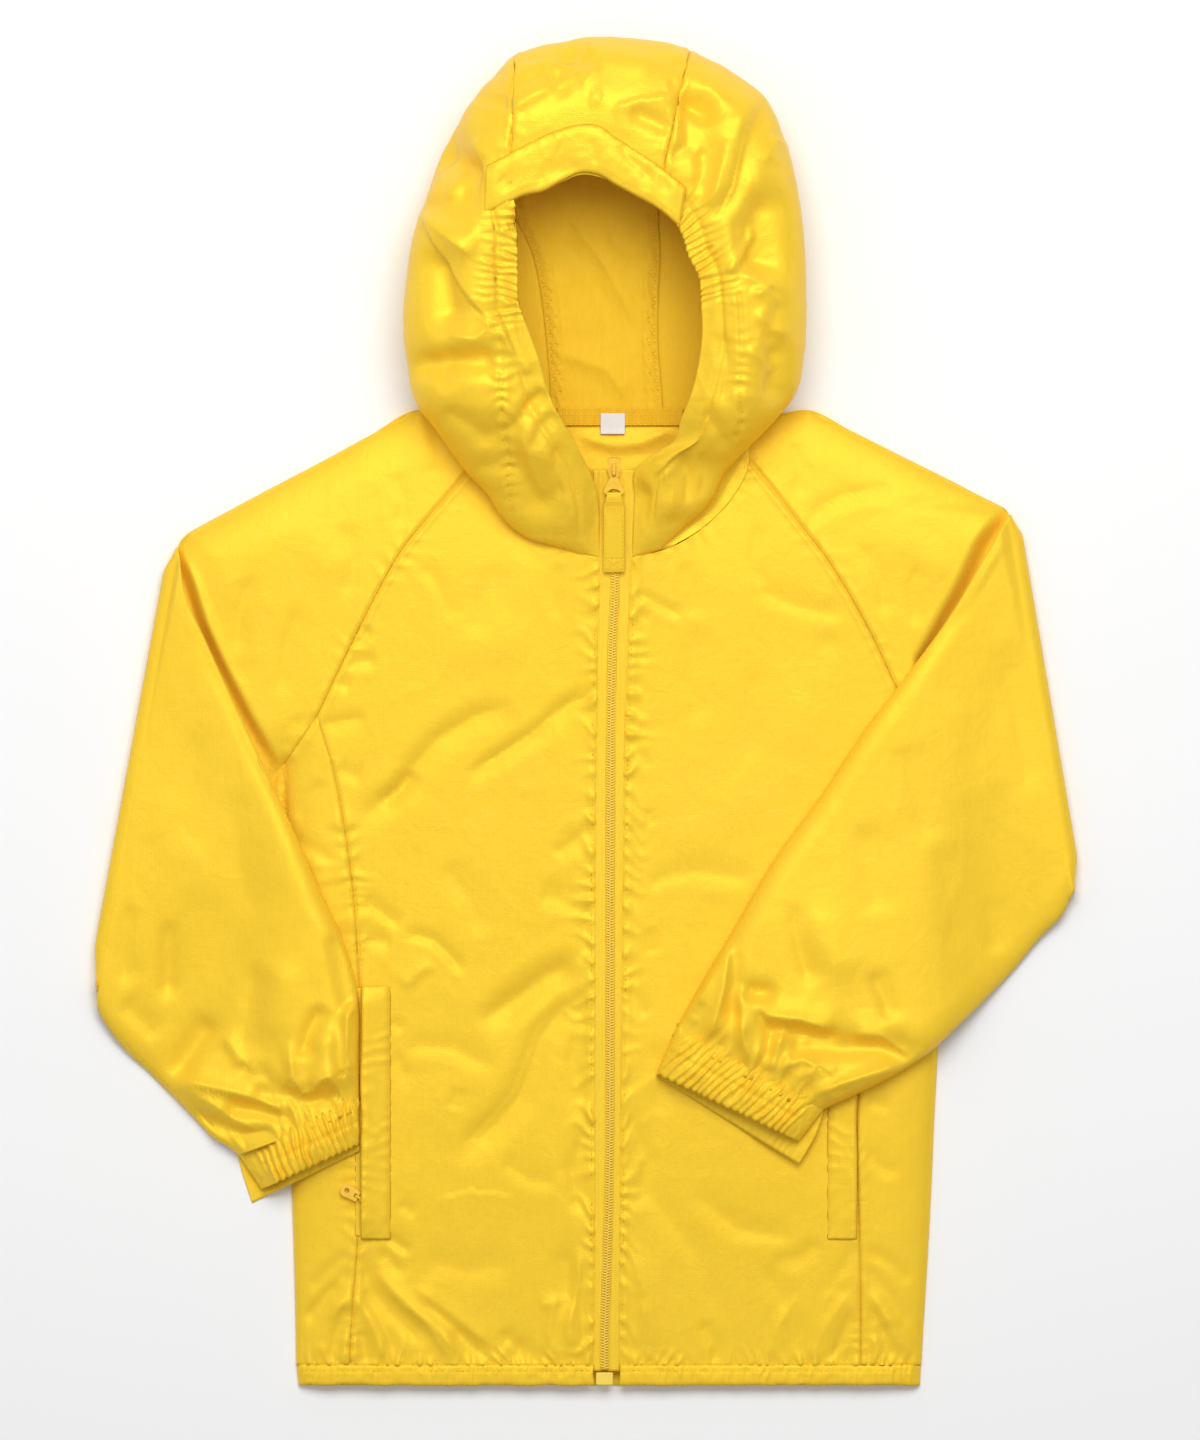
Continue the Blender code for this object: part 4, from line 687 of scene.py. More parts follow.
HOODY = [
    ("d", 2.2, 9, "566,56 582,62 560,82"), ("r", 2.2, 4, "597,42 577,65 566,75 555,92"), ("r", 1.8, 4, "503,114 524,105 545,94 569,81 593,64"),
    ("r", 1.2, 4, "583,89 600,69"), ("r", 1.0, 4, "590,101 603,101"), ("s", 1.6, 4, "606,111 636,102 681,94"), ("d", 1.4, 8, "640,118 662,128"),
    ("v", 1.0, 4, "519,63 532,60 547,56"), ("v", 1.0, 4, "519,89 532,82 547,74"), ("v", 0.9, 4, "686,64 672,68"), ("v", 0.9, 4, "684,80 668,86"),
    ("d", 3.0, 12, "452,160 474,172"), ("b", 1.6, 7, "450,182 448,192"), ("r", 2.0, 4, "471,139 481,164 483,182"), ("r", 2.0, 4, "470,106 486,110 504,114"),
    ("d", 1.6, 7, "484,104 498,106"), ("v", 2.0, 6, "421,200 446,218 475,235"), ("s", 2.4, 5, "490,324 473,306 449,276 427,228 422,210"),
    ("r", 2.0, 4, "422,212 446,236 475,259"), ("d", 3.2, 15, "440,270 448,310"), ("r", 2.2, 4.5, "485,315 489,327 475,340 447,335"),
    ("d", 2.8, 11, "426,366 484,362"), ("r", 2.0, 4, "496,328 513,354 530,379"), ("v", 1.5, 5, "545,388 532,402 523,416"),
    ("v", 1.5, 5, "545,392 525,415 505,438"), ("v", 1.3, 5, "556,410 540,432 530,455"), ("v", 1.4, 6, "440,410 470,428 490,452"),
    ("v", 1.2, 6, "470,470 500,470 525,480"), ("v", 1.3, 6, "560,440 556,470 562,505"), ("r", 1.4, 4, "520,430 530,470 548,510"),
    ("d", 2.8, 10, "694,104 706,112"), ("r", 1.8, 5, "690,94 708,92 718,102 716,116"), ("v", 1.8, 5, "684,112 686,148 665,163"),
    ("v", 3.0, 6, "763,100 746,150 735,191 715,225"), ("s", 1.6, 4, "716,222 731,191 741,152 757,104"), ("r", 2.0, 4, "727,136 716,191 705,213"),
    ("r", 1.5, 4, "776,136 764,165"), ("d", 4.0, 17, "764,215 766,262"), ("d", 2.0, 10, "745,230 750,262"), ("b", 1.8, 6, "755,240 732,269"),
    ("r", 2.4, 4, "739,273 767,287 750,299"), ("d", 2.6, 12, "776,358 777,392"), ("v", 1.6, 5, "700,150 702,176 694,196"),
    ("v", 1.3, 5, "780,300 768,330 772,350"), ("r", 1.6, 4, "752,312 770,330 790,338"), ("r", 1.4, 4, "744,350 764,362 778,380"),
    ("v", 1.4, 5, "720,330 726,370 720,410"), ("v", 1.6, 6, "700,410 715,430 730,452"), ("v", 1.5, 5, "676,452 690,480 686,510"),
    ("d", 2.0, 10, "640,498 640,520"), ("r", 1.6, 4, "660,462 672,492 668,524"), ("v", 1.2, 4, "700,455 706,480 700,502"),
    ("v", 1.2, 7, "455,345 440,372 446,398"), ("v", 1.3, 6, "500,150 492,180 496,205"), ("b", 1.6, 12, "610,60 640,66"),
    ("b", 1.4, 12, "460,230 466,250"), ("b", 1.6, 14, "740,120 748,110"),
]
HOODY = [(k, a * (1.7 if k == "d" else 1.0), w * (1.15 if k == "d" else 1.0), t) for k, a, w, t in HOODY]
HOODY += [("d", 4.0, 24, "446,150 462,196"), ("d", 3.2, 20, "500,440 540,500"), ("d", 3.4, 18, "690,108 706,150"), ("d", 3.0, 20, "700,440 680,480")]
HOOD_IN = [
    ("r", 1.4, 6, "566,212 580,232 596,252 612,278 625,303 637,331"), ("r", 1.2, 6, "553,340 566,356 607,370 631,405"),
    ("r", 1.2, 6, "663,308 674,348 684,384"), ("v", 1.0, 8, "600,210 622,240 640,270"), ("v", 0.9, 8, "560,290 580,320 590,350"),
]
YOKE = [
    ("r", 1.3, 4, "574,433 592,441 617,447 640,444 652,439 680,423"), ("r", 1.0, 5, "560,450 590,470 622,474 650,462"), ("b", 1.2, 10, "600,500 620,505"),
]

RAGLAN_L = [(r[0], r[1]) for r in CAP_LEFT]
RAGLAN_R = [(r[0], r[1]) for r in CAP_RIGHT]
SEAM_L = [(r[1], r[0]) for r in SIDE_LEFT]
SEAM_R = [(r[1], r[0]) for r in SIDE_RIGHT]
ZIP_L = [(r[2], r[0]) for r in ZIP if r[0] >= 557]
ZIP_R = [(r[3], r[0]) for r in ZIP if r[0] >= 557]
HEM_L = [(297, 1366), (594, 1366)]
HEM_R = [(619, 1366), (920, 1366)]


def body_relief(x, y, left):
    """Creases, seams and puckers of the body's upper layer and the sleeve caps, mm."""
    if left:
        h = relief(x, y, FRONT_L, 0.95) + relief(x, y, STRIP_L + CAP_L, 0.85)
        h += seam(x, y, RAGLAN_L) + seam(x, y, SEAM_L[1:], 0.7, 1.8, 0.3) + seam(x, y, ZIP_L, 0.4, 1.5, 0.5, 6)
        h += puckers(x, y, ZIP_L, 19, 9, 3.2, 11, power=2.6) + puckers(x, y, ZIP_L, 41, 22, 0.8, 17, power=2.0) + puckers(x, y, RAGLAN_L, 21, 9, 0.9, 12)
        h += puckers(x, y, SEAM_L[2:5], 12, 10, 1.6, 13) + puckers(x, y, SEAM_L[5:], 17, 9, 1.2, 14)
        h += puckers(x, y, HEM_L, 11, 9, 2.6, 15, power=1.6) + puckers(x, y, HEM_L, 23, 17, 1.3, 19)
        h += puckers(x, y, NECK_LEFT, 17, 8, 0.8, 16)
        h += rough(x, y, 21, 66) * 0.38 + rough(x, y, 22, 20) * 0.13
    else:
        h = relief(x, y, FRONT_R, 0.72) + relief(x, y, STRIP_R + CAP_R, 0.85)
        h += seam(x, y, RAGLAN_R) + seam(x, y, SEAM_R[1:], 0.7, 1.8, 0.3) + seam(x, y, ZIP_R, 0.4, 1.5, 0.5, 6)
        h += puckers(x, y, ZIP_R, 18, 9, 3.2, 31, power=2.6) + puckers(x, y, ZIP_R, 39, 17, 0.7, 37, power=2.0) + puckers(x, y, RAGLAN_R, 21, 9, 0.8, 32)
        h += puckers(x, y, SEAM_R[6:], 17, 9, 1.1, 33) + puckers(x, y, HEM_R, 11, 9, 2.6, 35, power=1.6) + puckers(x, y, HEM_R, 23, 16, 1.2, 39)
        h += puckers(x, y, NECK_RIGHT, 17, 8, 0.8, 36)
        h += rough(x, y, 41, 66) * 0.38 + rough(x, y, 42, 20) * 0.13
    # no dip opens a gap beside the zip, at the hem or at the side seams
    for line in ((ZIP_L if left else ZIP_R), (HEM_L if left else HEM_R), (SEAM_L[1:] if left else SEAM_R[1:])):
        h = np.maximum(h, -0.35 - 0.16 * line_info(x, y, line)[0])
    return h


def top_relieved(x, y, left, floor=0.9):
    """Outside height of the upper layer with its creases."""
    z = front_top(x, y)
    h = body_relief(x, y, left)
    room = np.clip((z - 1.6) / 4.0, 0, 1)
    return np.maximum(z + h * room, floor)


# ---------------------------------------------------------------- body
def neck_run(neck, zip_col, side, q):
    """Inner end of a front's rows at row places q: neck seam, then the zip."""
    a = spline(neck, np.clip(q, 0, 5))
    ys = np.interp(q, [5, 6, 7] + list(range(8, 8 + len(side) - 1)), [557.5, 600, 655] + [r[0] for r in side[1:]])
    b = np.stack([table_at(ZIP, ys, zip_col), ys], 1)
    return np.where(q[:, None] <= 5, a, b)


def outer_run(cap, side, q):
    """Outer end of a front's rows: raglan seam, then side seam."""
    a = spline([(r[0], r[1]) for r in cap], np.clip(q, 0, 7))
    b = spline([(r[1], r[0]) for r in side], np.clip(q - 7, 0, len(side) - 1))
    return np.where(q[:, None] <= 7, a, b)


def front(name, cap, neck, side, zip_col, sgn, left, node_name):
    starts = [(r[0], r[1]) for r in cap[:8]] + [(r[1], r[0]) for r in side[1:]]
    stops = list(neck) + [(598, 600), (598, 655)] + [(598, r[0]) for r in side[1:]]
    q = rows_of([starts, stops], 1.35)
    a, b = outer_run(cap, side, q), neck_run(neck, zip_col, side, q)
    b = b - np.array([0.25 * sgn, 0])
    nu = cells(120)
    u = np.linspace(0, 1, nu + 1)[None, :]
    x, y = lerp(a[:, :1], b[:, :1], u), lerp(a[:, 1:], b[:, 1:], u)
    z = top_relieved(x, y, left)
    x[:, 0] -= 1.3 * sgn
    z[:, 0] -= 0.6
    # the edges turn down beside the zip and into the hem binding, so no gather leaves a hole
    xe, ye, ze = x[:, -1:], y[:, -1:], z[:, -1:]
    w = smooth((ye - 556.0) / 4.0)
    low = lerp(ze, np.minimum(ze, table_at(ZIP, ye, 4)) - 1.3, w)
    x = np.hstack([x] + [xe + k * sgn * (0.2 + 1.8 * w) for k in (0.5, 1.0)])
    z = np.hstack([z] + [lerp(ze, low, k) for k in (0.5, 1.0)])
    y = np.hstack([y, ye, ye])
    xe, ye, ze = x[-1:], y[-1:], z[-1:]
    low = np.minimum(ze, front_top(xe, ye) - 1.2)
    z = np.vstack([z] + [lerp(ze, low, k) for k in (0.5, 1.0)])
    x, y = np.vstack([x, xe, xe]), np.vstack([y, ye + 0.9, ye + 1.8])
    p = world(x, y, z)
    n, flip = normals(p, (0.5, 0.5, 2, 1))
    n = np.zeros_like(p)
    n[..., 2] = 1
    obj = shell(name, p, n, flip, THIN, SHELL, node=node_name)
    return obj


front_left = front("v_front_left", CAP_LEFT, NECK_LEFT, SIDE_LEFT, 2, 1, True, "front_left")
front_right = front("v_front_right", CAP_RIGHT, NECK_RIGHT, SIDE_RIGHT, 3, -1, False, "front_right")


def back():
    q = rows_of([[(r[1], r[0]) for r in SIDE_LEFT], [(r[2], r[3]) for r in SIDE_LEFT], [(r[1], r[0]) for r in SIDE_RIGHT]], 1.6)
    parts = []
    ends = []
    for side, sgn in ((SIDE_LEFT, -1), (SIDE_RIGHT, 1)):
        f = spline([(r[1], r[0]) for r in side], q)
        e = spline([(r[2], r[3]) for r in side], q)
        if sgn < 0:
            e = e - np.array([[21.0, 0]]) * np.exp(-((e[:, 1:] - 786) / 30.0) ** 2)
        ends.append((f, e))
    (fl, el), (fr, er) = ends
    n = cells(26)
    t = np.linspace(0, 0.985, n + 1)[None, :]
    xs, ys, zs = [], [], []
    x, y = lerp(fl[:, :1], el[:, :1], t), lerp(fl[:, 1:], el[:, 1:], t)
    xs.append(x), ys.append(y), zs.append(top_relieved(x, y, True))
    for k, (out, z) in enumerate(((0.6, 1.9), (0.9, 1.2), (0.5, 0.5))):
        xs.append(el[:, :1] - out), ys.append(el[:, 1:]), zs.append(np.full_like(el[:, :1], z))
    t = np.array([0.004, 0.1, 0.2, 0.3, 0.4, 0.5, 0.6, 0.7, 0.8, 0.9, 0.996])[None, :]
    x, y = lerp(el[:, :1], er[:, :1], t), lerp(el[:, 1:], er[:, 1:], t)
    xs.append(x), ys.append(y), zs.append(np.zeros_like(x))
    for k, (out, z) in enumerate(((0.5, 0.5), (0.9, 1.2), (0.6, 1.9))):
        xs.append(er[:, :1] + out), ys.append(er[:, 1:]), zs.append(np.full_like(er[:, :1], z))
    t = np.linspace(0.985, 0, n + 1)[None, :]
    x, y = lerp(fr[:, :1], er[:, :1], t), lerp(fr[:, 1:], er[:, 1:], t)
    xs.append(x), ys.append(y), zs.append(top_relieved(x, y, False))
    x, y, z = np.hstack(xs), np.hstack(ys), np.hstack(zs)
    if x.shape[1] % 2 == 0:
        x, y, z = (np.hstack([v[:, :n + 5], 0.5 * (v[:, n + 4:n + 5] + v[:, n + 5:n + 6]), v[:, n + 5:]]) for v in (x, y, z))
    p = world(x, y, z)
    nrm, flip = normals(p, (0.6, 0.5, 2, -1))
    obj = shell("v_back", p, nrm, flip, THIN, SHELL, node="back")
    # the part above the armpits lies flat under the fronts and shows in the neck
    rows_l = [(r[4], r[5]) for r in CAP_LEFT[:9]]
    rows_r = [(r[4], r[5]) for r in CAP_RIGHT[:9]]
    q = rows_of([rows_l], 2.0)
    a, b = spline(rows_l, q), spline(rows_r, q)
    u = np.linspace(0, 1, cells(90) + 1)[None, :]
    x, y = lerp(a[:, :1] + 0.1, b[:, :1] - 0.1, u), lerp(a[:, 1:] + 1, b[:, 1:] + 1, u)
    h = 0.6 + np.clip(relief(x, y, YOKE, 1.5) + 0.6 * rough(x, y, 51, 24), -0.1, 3.0) * smooth((y - 424) / 12)
    p = world(x, y, h)
    nrm = np.zeros_like(p)
    nrm[..., 2] = 1
    _, flip = normals(p, (0.5, 0.5, 2, 1))
    yoke = shell("v_back_yoke", p, nrm, flip, 0.5, SHELL, node="back")
    return obj


back_obj = back()


def hem():
    rows = np.linspace(0, 1, cells(10) + 1)[:, None]
    yy = lerp(HEM_TOP, HEM_END, rows)
    zl, zr = 593.4, 619.8
    el, er = 297.3 + (yy - HEM_TOP) * 0.1, 920.2 - (yy - HEM_TOP) * 0.05
    xs, ys, zs = [], [], []

    def bead(x, f, seed):
        """Gathered binding: its height across and along."""
        body = 1.0 * np.sqrt(np.clip(1 - (2 * f - 1) ** 4, 0, 1)) - 0.5 * np.exp(-((f - 0.22) / 0.05) ** 2)
        wob = x + 2.2 * lattice(x / 9.0, f * 1.2, seed) + 3 * f
        return body + 0.42 * np.cos(2 * np.pi * wob / 6.3) * (0.7 + 0.5 * lattice(x / 13, f, seed + 1)) + 0.3 * lattice(x / 5, f * 3, seed + 2)

    nf = cells(190)
    t = np.linspace(0, 0.985, nf + 1)[None, :]
    x = lerp(zl, el, t)
    y = yy + 0 * x + 1.1 * np.cos(2 * np.pi * x / 6.3) * (1 - rows) * 0.5 + 0.9 * rows * lattice(x / 11, 0 * x, 61)
    xs.append(x), ys.append(y - 2.4 * (rows == 0)), zs.append(front_top(x, y) + bead(x, rows, 62) + 0.1 * (rows == 0))
    for out, z in ((0.5, 1.9), (0.8, 1.2), (0.4, 0.5)):
        xs.append(el - out), ys.append(yy), zs.append(np.full_like(yy, z))
    t = np.array([0.004, 0.1, 0.2, 0.3, 0.4, 0.5, 0.6, 0.7, 0.8, 0.9, 0.996])[None, :]
    x = lerp(el, er, t)
    xs.append(x), ys.append(yy + 0 * x), zs.append(0 * x)
    for out, z in ((0.4, 0.5), (0.8, 1.2), (0.5, 1.9)):
        xs.append(er + out), ys.append(yy), zs.append(np.full_like(yy, z))
    t = np.linspace(0.985, 0, nf + 1)[None, :]
    x = lerp(zr, er, t)
    y = yy + 0 * x + 1.1 * np.cos(2 * np.pi * x / 6.3) * (1 - rows) * 0.5 + 0.9 * rows * lattice(x / 11, 0 * x, 63)
    xs.append(x), ys.append(y - 2.4 * (rows == 0)), zs.append(front_top(x, y) + bead(x, rows, 64) + 0.1 * (rows == 0))
    x, y, z = np.hstack(xs), np.hstack(ys), np.hstack(zs)
    p = world(x, y, z)
    nrm, flip = normals(p, (0.5, 0.5, 2, -1))
    obj = shell("v_hem_binding", p, nrm, flip, 0.9, BOUND, half=False, node="hem_binding", slot="binding")
    return obj


hem_obj = hem()


# ---------------------------------------------------------------- sleeves
def ring_thick(c, width, thick):
    rise = np.clip(c * width / 14.0, 0, 1)
    fall = dome((1 - c) * width / 14.0)
    ply = 1.5
    t = ply + (thick - ply) * np.minimum(dome(rise), 1.0)
    return lerp(0.8 * ply, t, fall)


def sleeve(name, cap, flat_rows, arm, sgn, left, creases, node_name, seed):
    # columns: showing front from low edge to top edge, then the other ply back to the low edge
    nc = cells(92)
    c_up = np.linspace(0, 1, nc + 1) ** 1.0
    cols = [(c, 1) for c in c_up] + [(c, -1) for c in c_up[::-1]]
    if len(cols) % 2 == 0:
        cols.insert(nc + 1, (1.0, 0))
    c = np.array([k[0] for k in cols])[None, :]
    face = np.array([k[1] for k in cols])[None, :] + 0.0
    s = 0.0
    grid = []
    marks = []
    # cap, between the raglan seams
    q = rows_of([[(r[0], r[1]) for r in cap], [(r[2], r[3]) for r in cap]], 1.7)[:-1]
    p0, p1, p2 = (spline([(r[k], r[k + 1]) for r in cap], q) for k in (0, 2, 4))
    low = np.where(face[..., None] >= 0, p0[:, None, :], p2[:, None, :]) - np.array([s, 0])
    flat_q = np.concatenate([q])
    xy = lerp(low, p1[:, None, :], c[..., None])
    blocks = [(xy[..., 0], xy[..., 1], np.zeros(len(q)), np.full(len(q), 5.0))]
    # flat to the fold
    run = [(cap[-1][0], cap[-1][1], cap[-1][2], cap[-1][3])] + list(flat_rows)
    q = rows_of([[(r[0], r[1]) for r in run], [(r[2], r[3]) for r in run]], 1.8)[:-1]
    lo, up = spline([(r[0], r[1]) for r in run], q), spline([(r[2], r[3]) for r in run], q)
    xy = lerp(lo[:, None, :], up[:, None, :], c[..., None])
    blocks.append((xy[..., 0], xy[..., 1], np.zeros(len(q)), np.full(len(q), 5.0)))
    # the fold itself
    last = flat_rows[-1]
    turn = np.linspace(0, 180, cells(10) + 1)[:-1]
    xy = lerp(np.array(last[:2])[None, None, :], np.array(last[2:])[None, None, :], c[..., None]) + np.zeros((len(turn), 1, 1))
    blocks.append((xy[..., 0], xy[..., 1], turn, np.full(len(turn), 5.0)))
    # turned back, down to the cuff
    q = rows_of([[(r[0], r[1]) for r in arm], [(r[2], r[3]) for r in arm]], 1.45)
    lo, up = spline([(r[0], r[1]) for r in arm], q), spline([(r[2], r[3]) for r in arm], q)
    th = spline([(r[4], 0.0) for r in arm], q)[:, 0]
    xy = lerp(lo[:, None, :], up[:, None, :], c[..., None])
    arm_from = sum(len(b[2]) for b in blocks)
    blocks.append((xy[..., 0], xy[..., 1], np.full(len(q), 180.0), th))
    x, y = np.vstack([b[0] for b in blocks]), np.vstack([b[1] for b in blocks])
    turn = np.concatenate([b[2] for b in blocks])[:, None]
    thick = np.concatenate([b[3] for b in blocks])[:, None]
    if x.shape[0] % 2 == 0:
        k = arm_from - 3
        x, y, turn, thick = (np.vstack([v[:k], 0.5 * (v[k - 1:k] + v[k:k + 1]), v[k:]]) for v in (x, y, turn, thick))
        arm_from += 1
    row = np.arange(x.shape[0])[:, None]
    face = face + 0 * x
    cc = c + 0 * x
    # heights of the part laid flat
    top = np.where(row < arm_from, top_relieved(x, y, left), front_top(x, y))
    z_flat = np.where(face > 0, top, np.where(face < 0, 0.0, 1.5))
    # round the fold
    d = np.hypot(last[2] - last[0], last[3] - last[1])
    nx, ny = (last[3] - last[1]) / d * -sgn, (last[2] - last[0]) / d * sgn
    if nx * sgn > 0:
        nx, ny = -nx, -ny
    local = np.where(face > 0, np.minimum(top, FOLD_TOP), np.where(face < 0, 0.0, 1.5))
    reach = FOLD_AXIS - local
    a = np.radians(turn)
    ends_ = smooth(cc * 160 / 16.0) * smooth((1 - cc) * 160 / 10.0) * 0.75 + 0.25
    off = reach * np.sin(a) * 0.001 / STEP * ends_
    z_turn = FOLD_AXIS - reach * np.cos(a)
    turning = (turn > 0) & (turn < 180)
    # the part turned back
    base = bearing(x, y, REST, 20.0)
    width = np.hypot(x[:, :1] - x[:, nc:nc + 1], y[:, :1] - y[:, nc:nc + 1]) * 0.55
    t = ring_thick(cc, width, thick)
    h = relief(x, y, creases, 1.25) * (1 + 0.6 * smooth((y - 900) / 90.0)) + rough(x, y, seed, 60) * 0.5
    edge = [(r[0], r[1]) for r in arm]
    end = [(arm[-1][0], arm[-1][1]), (arm[-1][2], arm[-1][3])]
    h += puckers(x, y, end, 12, 20, 2.4, seed + 7, power=2.2) + puckers(x, y, end, 31, 46, 2.2, seed + 6, power=2.4)
    h += puckers(x, y, edge[3:], 21, 7, 0.6, seed + 8)
    d_end = line_info(x, y, end)[0]
    h = np.maximum(h, -0.3 - 0.3 * d_end)
    room = np.clip((t - 1.2) / 4.0, 0, 1) * smooth(cc * width / 5.0) * smooth((1 - cc) * width / 4.0)
    high = bearing(x, y, REST, 52.0)
    k_ = int(16 / FINE)
    high[arm_from:] = blur(blur(high[arm_from:], k_), k_)
    over = np.maximum(high + t + h * room, base + 0.9)
    z_arm = np.where(face > 0, base + 0.25 * np.clip(h, -1, 0) * 0, np.where(face < 0, over, base + 0.4 * t))
    w = smooth((row - arm_from) / max(8.0 / FINE, 2.0))
    z_fold_end = FOLD_AXIS + reach
    z_arm = lerp(z_fold_end, z_arm, w)
    z = np.where(row < arm_from, np.where(turning, z_turn, z_flat), z_arm)
    x = x + np.where(turning, nx * off, 0)
    y = y + np.where(turning, ny * off, 0)
    p = world(x, y, z)
    p[-1] += (p[-1] - p[-2]) * 1.6
    p[-1, :, 2] -= np.where(face[-1] > 0, 0.5, 0.0) * 0.001
    # the end turns down into the cuff
    tails = []
    for k in (0.5, 1.0):
        tail = p[-1] + (p[-1] - p[-2]) * 0.8 * k
        drop = np.minimum(2.4 * k * 0.001, np.maximum(p[-1, :, 2] - 0.0008, 0))
        tail[:, 2] -= np.where(face[-1] > 0, drop, 0.0)
        tail[:, 2] = np.maximum(tail[:, 2], np.minimum(p[-1, :, 2], 0.0008))
        tails.append(tail)
    p = np.concatenate([p, np.stack(tails)])
    n, flip = normals(p, (0.12, 0.2, 2, 1))
    obj = shell(name, p, n, flip, THIN, SHELL, node=node_name)
    return obj


sleeve_left = sleeve("v_sleeve_left", CAP_LEFT, FLAT_LEFT, ARM_LEFT, 1, True, ARM_L, "sleeve_left", 71)
sleeve_right = sleeve("v_sleeve_right", CAP_RIGHT, FLAT_RIGHT, ARM_RIGHT, -1, False, ARM_R, "sleeve_right", 81)


def cuff(name, table, sgn, node_name, seed):
    """Ruched elastic band: gathers run from the seam to the mouth."""
    rows = np.linspace(0, 2, cells(26) + 1)
    g = spline(table, rows)
    nc = cells(150)
    c = np.linspace(0, 1, nc + 1)
    cols = [(k, -1) for k in c] + [(1.0, 0)] + [(k, 1) for k in c[::-1]]
    c = np.array([k[0] for k in cols])[None, :]
    face = np.array([k[1] for k in cols], float)[None, :]
    ul, ut, dl, dt = (g[:, None, k:k + 2] for k in (0, 2, 4, 6))
    upper = lerp(ul, ut, c[..., None])
    under = lerp(dl, dt, c[..., None])
    xy = np.where(face[..., None] > 0, upper, np.where(face[..., None] < 0, under, 0.5 * (upper + under)))
    x, y = xy[..., 0], xy[..., 1]
    width = np.hypot(g[:, 0] - g[:, 2], g[:, 1] - g[:, 3])[:, None] * 0.55
    f = (rows / 2)[:, None]
    t = ring_thick(c + 0 * x, width, g[:, 8:9])
    base = bearing(x, y, REST, 20.0)
    # gathers: pitch about 5.8 steps along the band, leaning
    along = c * width / 0.55
    lean = (f - 0.5) * 9.0 * sgn
    wob = along + lean + 4.2 * lattice(along / 15.0, f * 1.4 + 3, seed)
    wave = 1.9 * (0.5 + 0.5 * np.cos(2 * np.pi * wob / 7.6)) ** 1.5 - 0.9
    amp = (0.9 + 0.75 * lattice(along / 8.0, f * 2.6, seed + 1)) * (1 - 0.35 * np.abs(2 * f - 1))
    flat_end = smooth((along - 11) / 9.0)
    puff = 1.0 * np.sqrt(np.clip(1 - (2 * f - 1) ** 4, 0, 1)) - 0.5 * np.exp(-((f - 0.5) / 0.06) ** 2)
    h = puff * flat_end + amp * np.where(wave > 0, wave ** 0.8 if False else wave, wave * 1.2) * flat_end * 0.8
    h = h * 1.45 + 0.3 * lattice(along / 3.0, f * 6, seed + 2) + rough(x, y, seed, 14) * 0.9
    z = np.where(face > 0, base + t + h, np.where(face < 0, base - 0.0 + 0.3 * np.clip(h, -1, 1), base + 0.4 * t))
    # edges wander with the gathers
    nyx = (ul - ut)[..., 0], (ul - ut)[..., 1]
    push = 0.9 * wave * (2 * f - 1) * flat_end
    y = y + np.where(face > 0, push, 0)
    z = np.maximum(z, 0.1)
    p = world(x, y, z)
    p[0] += (p[0] - p[1]) * 1.2
    p[0, :, 2] += np.where(face[0] > 0, -0.4, 0.5) * 0.001
    n, flip = normals(p, (0.5, 0.75, 2, 1))
    obj = shell(name, p, n, flip, 0.7, BOUND, half=False, node=node_name, slot="binding")
    return obj


cuff_left = cuff("v_cuff_left", CUFF_LEFT, 1, "cuff_left", 91)
cuff_right = cuff("v_cuff_right", CUFF_RIGHT, -1, "cuff_right", 95)


# ---------------------------------------------------------------- hood
BACK_SEAM = spline(HOOD_BACK, np.linspace(0, len(HOOD_BACK) - 1, 161))


def back_seam(y, right):
    return np.interp(y, BACK_SEAM[:, 0], BACK_SEAM[:, 2 if right else 1])


NF, NO, NU, NG = cells(30), cells(40), cells(22), cells(22)


def hood_points(m, mz, kz, o, oz, s, floor=None):
    """Rows of the hood: showing side from the mouth's edge over the crest, down and under."""
    length = np.hypot(m[:, 0] - o[:, 0], m[:, 1] - o[:, 1]) * 0.55
    r = np.minimum(42.0, 0.62 * length)[:, None]
    length = length[:, None]
    f = np.linspace(0, 1, NF + 1)[None, :-1]
    a = f * (1 - r / length)
    x1, y1 = lerp(m[:, :1], o[:, :1], a), lerp(m[:, 1:], o[:, 1:], a)
    z1 = lerp(mz, kz, smooth(f * 1.15 + 0.05 * smooth(f * 20)))
    t = np.radians(np.linspace(90, 0, NO + 1))[None, :]
    a = 1 - r * (1 - np.cos(t)) / length
    x2, y2 = lerp(m[:, :1], o[:, :1], a), lerp(m[:, 1:], o[:, 1:], a)
    z2 = oz + (kz - oz) * np.sin(t)
    under = np.hypot(o[:, 0] - s[:, 0], o[:, 1] - s[:, 1])[:, None] * 0.55
    r2 = np.minimum(HOOD_UNDER, 0.85 * under)
    t = np.radians(np.linspace(0, 90, NU + 1))[None, 1:]
    a = r2 * (1 - np.cos(t)) / under
    x3, y3 = lerp(o[:, :1], s[:, :1], a), lerp(o[:, 1:], s[:, 1:], a)
    zf = np.maximum(bearing(x3, y3, HOOD_REST, 20.0), 0.0)
    z3 = zf + (oz - zf) * (1 - np.sin(t))
    f = np.linspace(0, 1, NG + 1)[None, 1:]
    a = lerp(r2 / under, 1, f)
    x4, y4 = lerp(o[:, :1], s[:, :1], a), lerp(o[:, 1:], s[:, 1:], a)
    z4 = np.maximum(bearing(x4, y4, HOOD_REST, 20.0), 0.0)
    return np.hstack([x1, x2, x3, x4]), np.hstack([y1, y2, y3, y4]), np.hstack([z1, z2, z3, z4])


BRIM_RING = [(r[2], r[3]) for r in BRIM] + [(r[0], r[1]) for r in reversed(BRIM)]


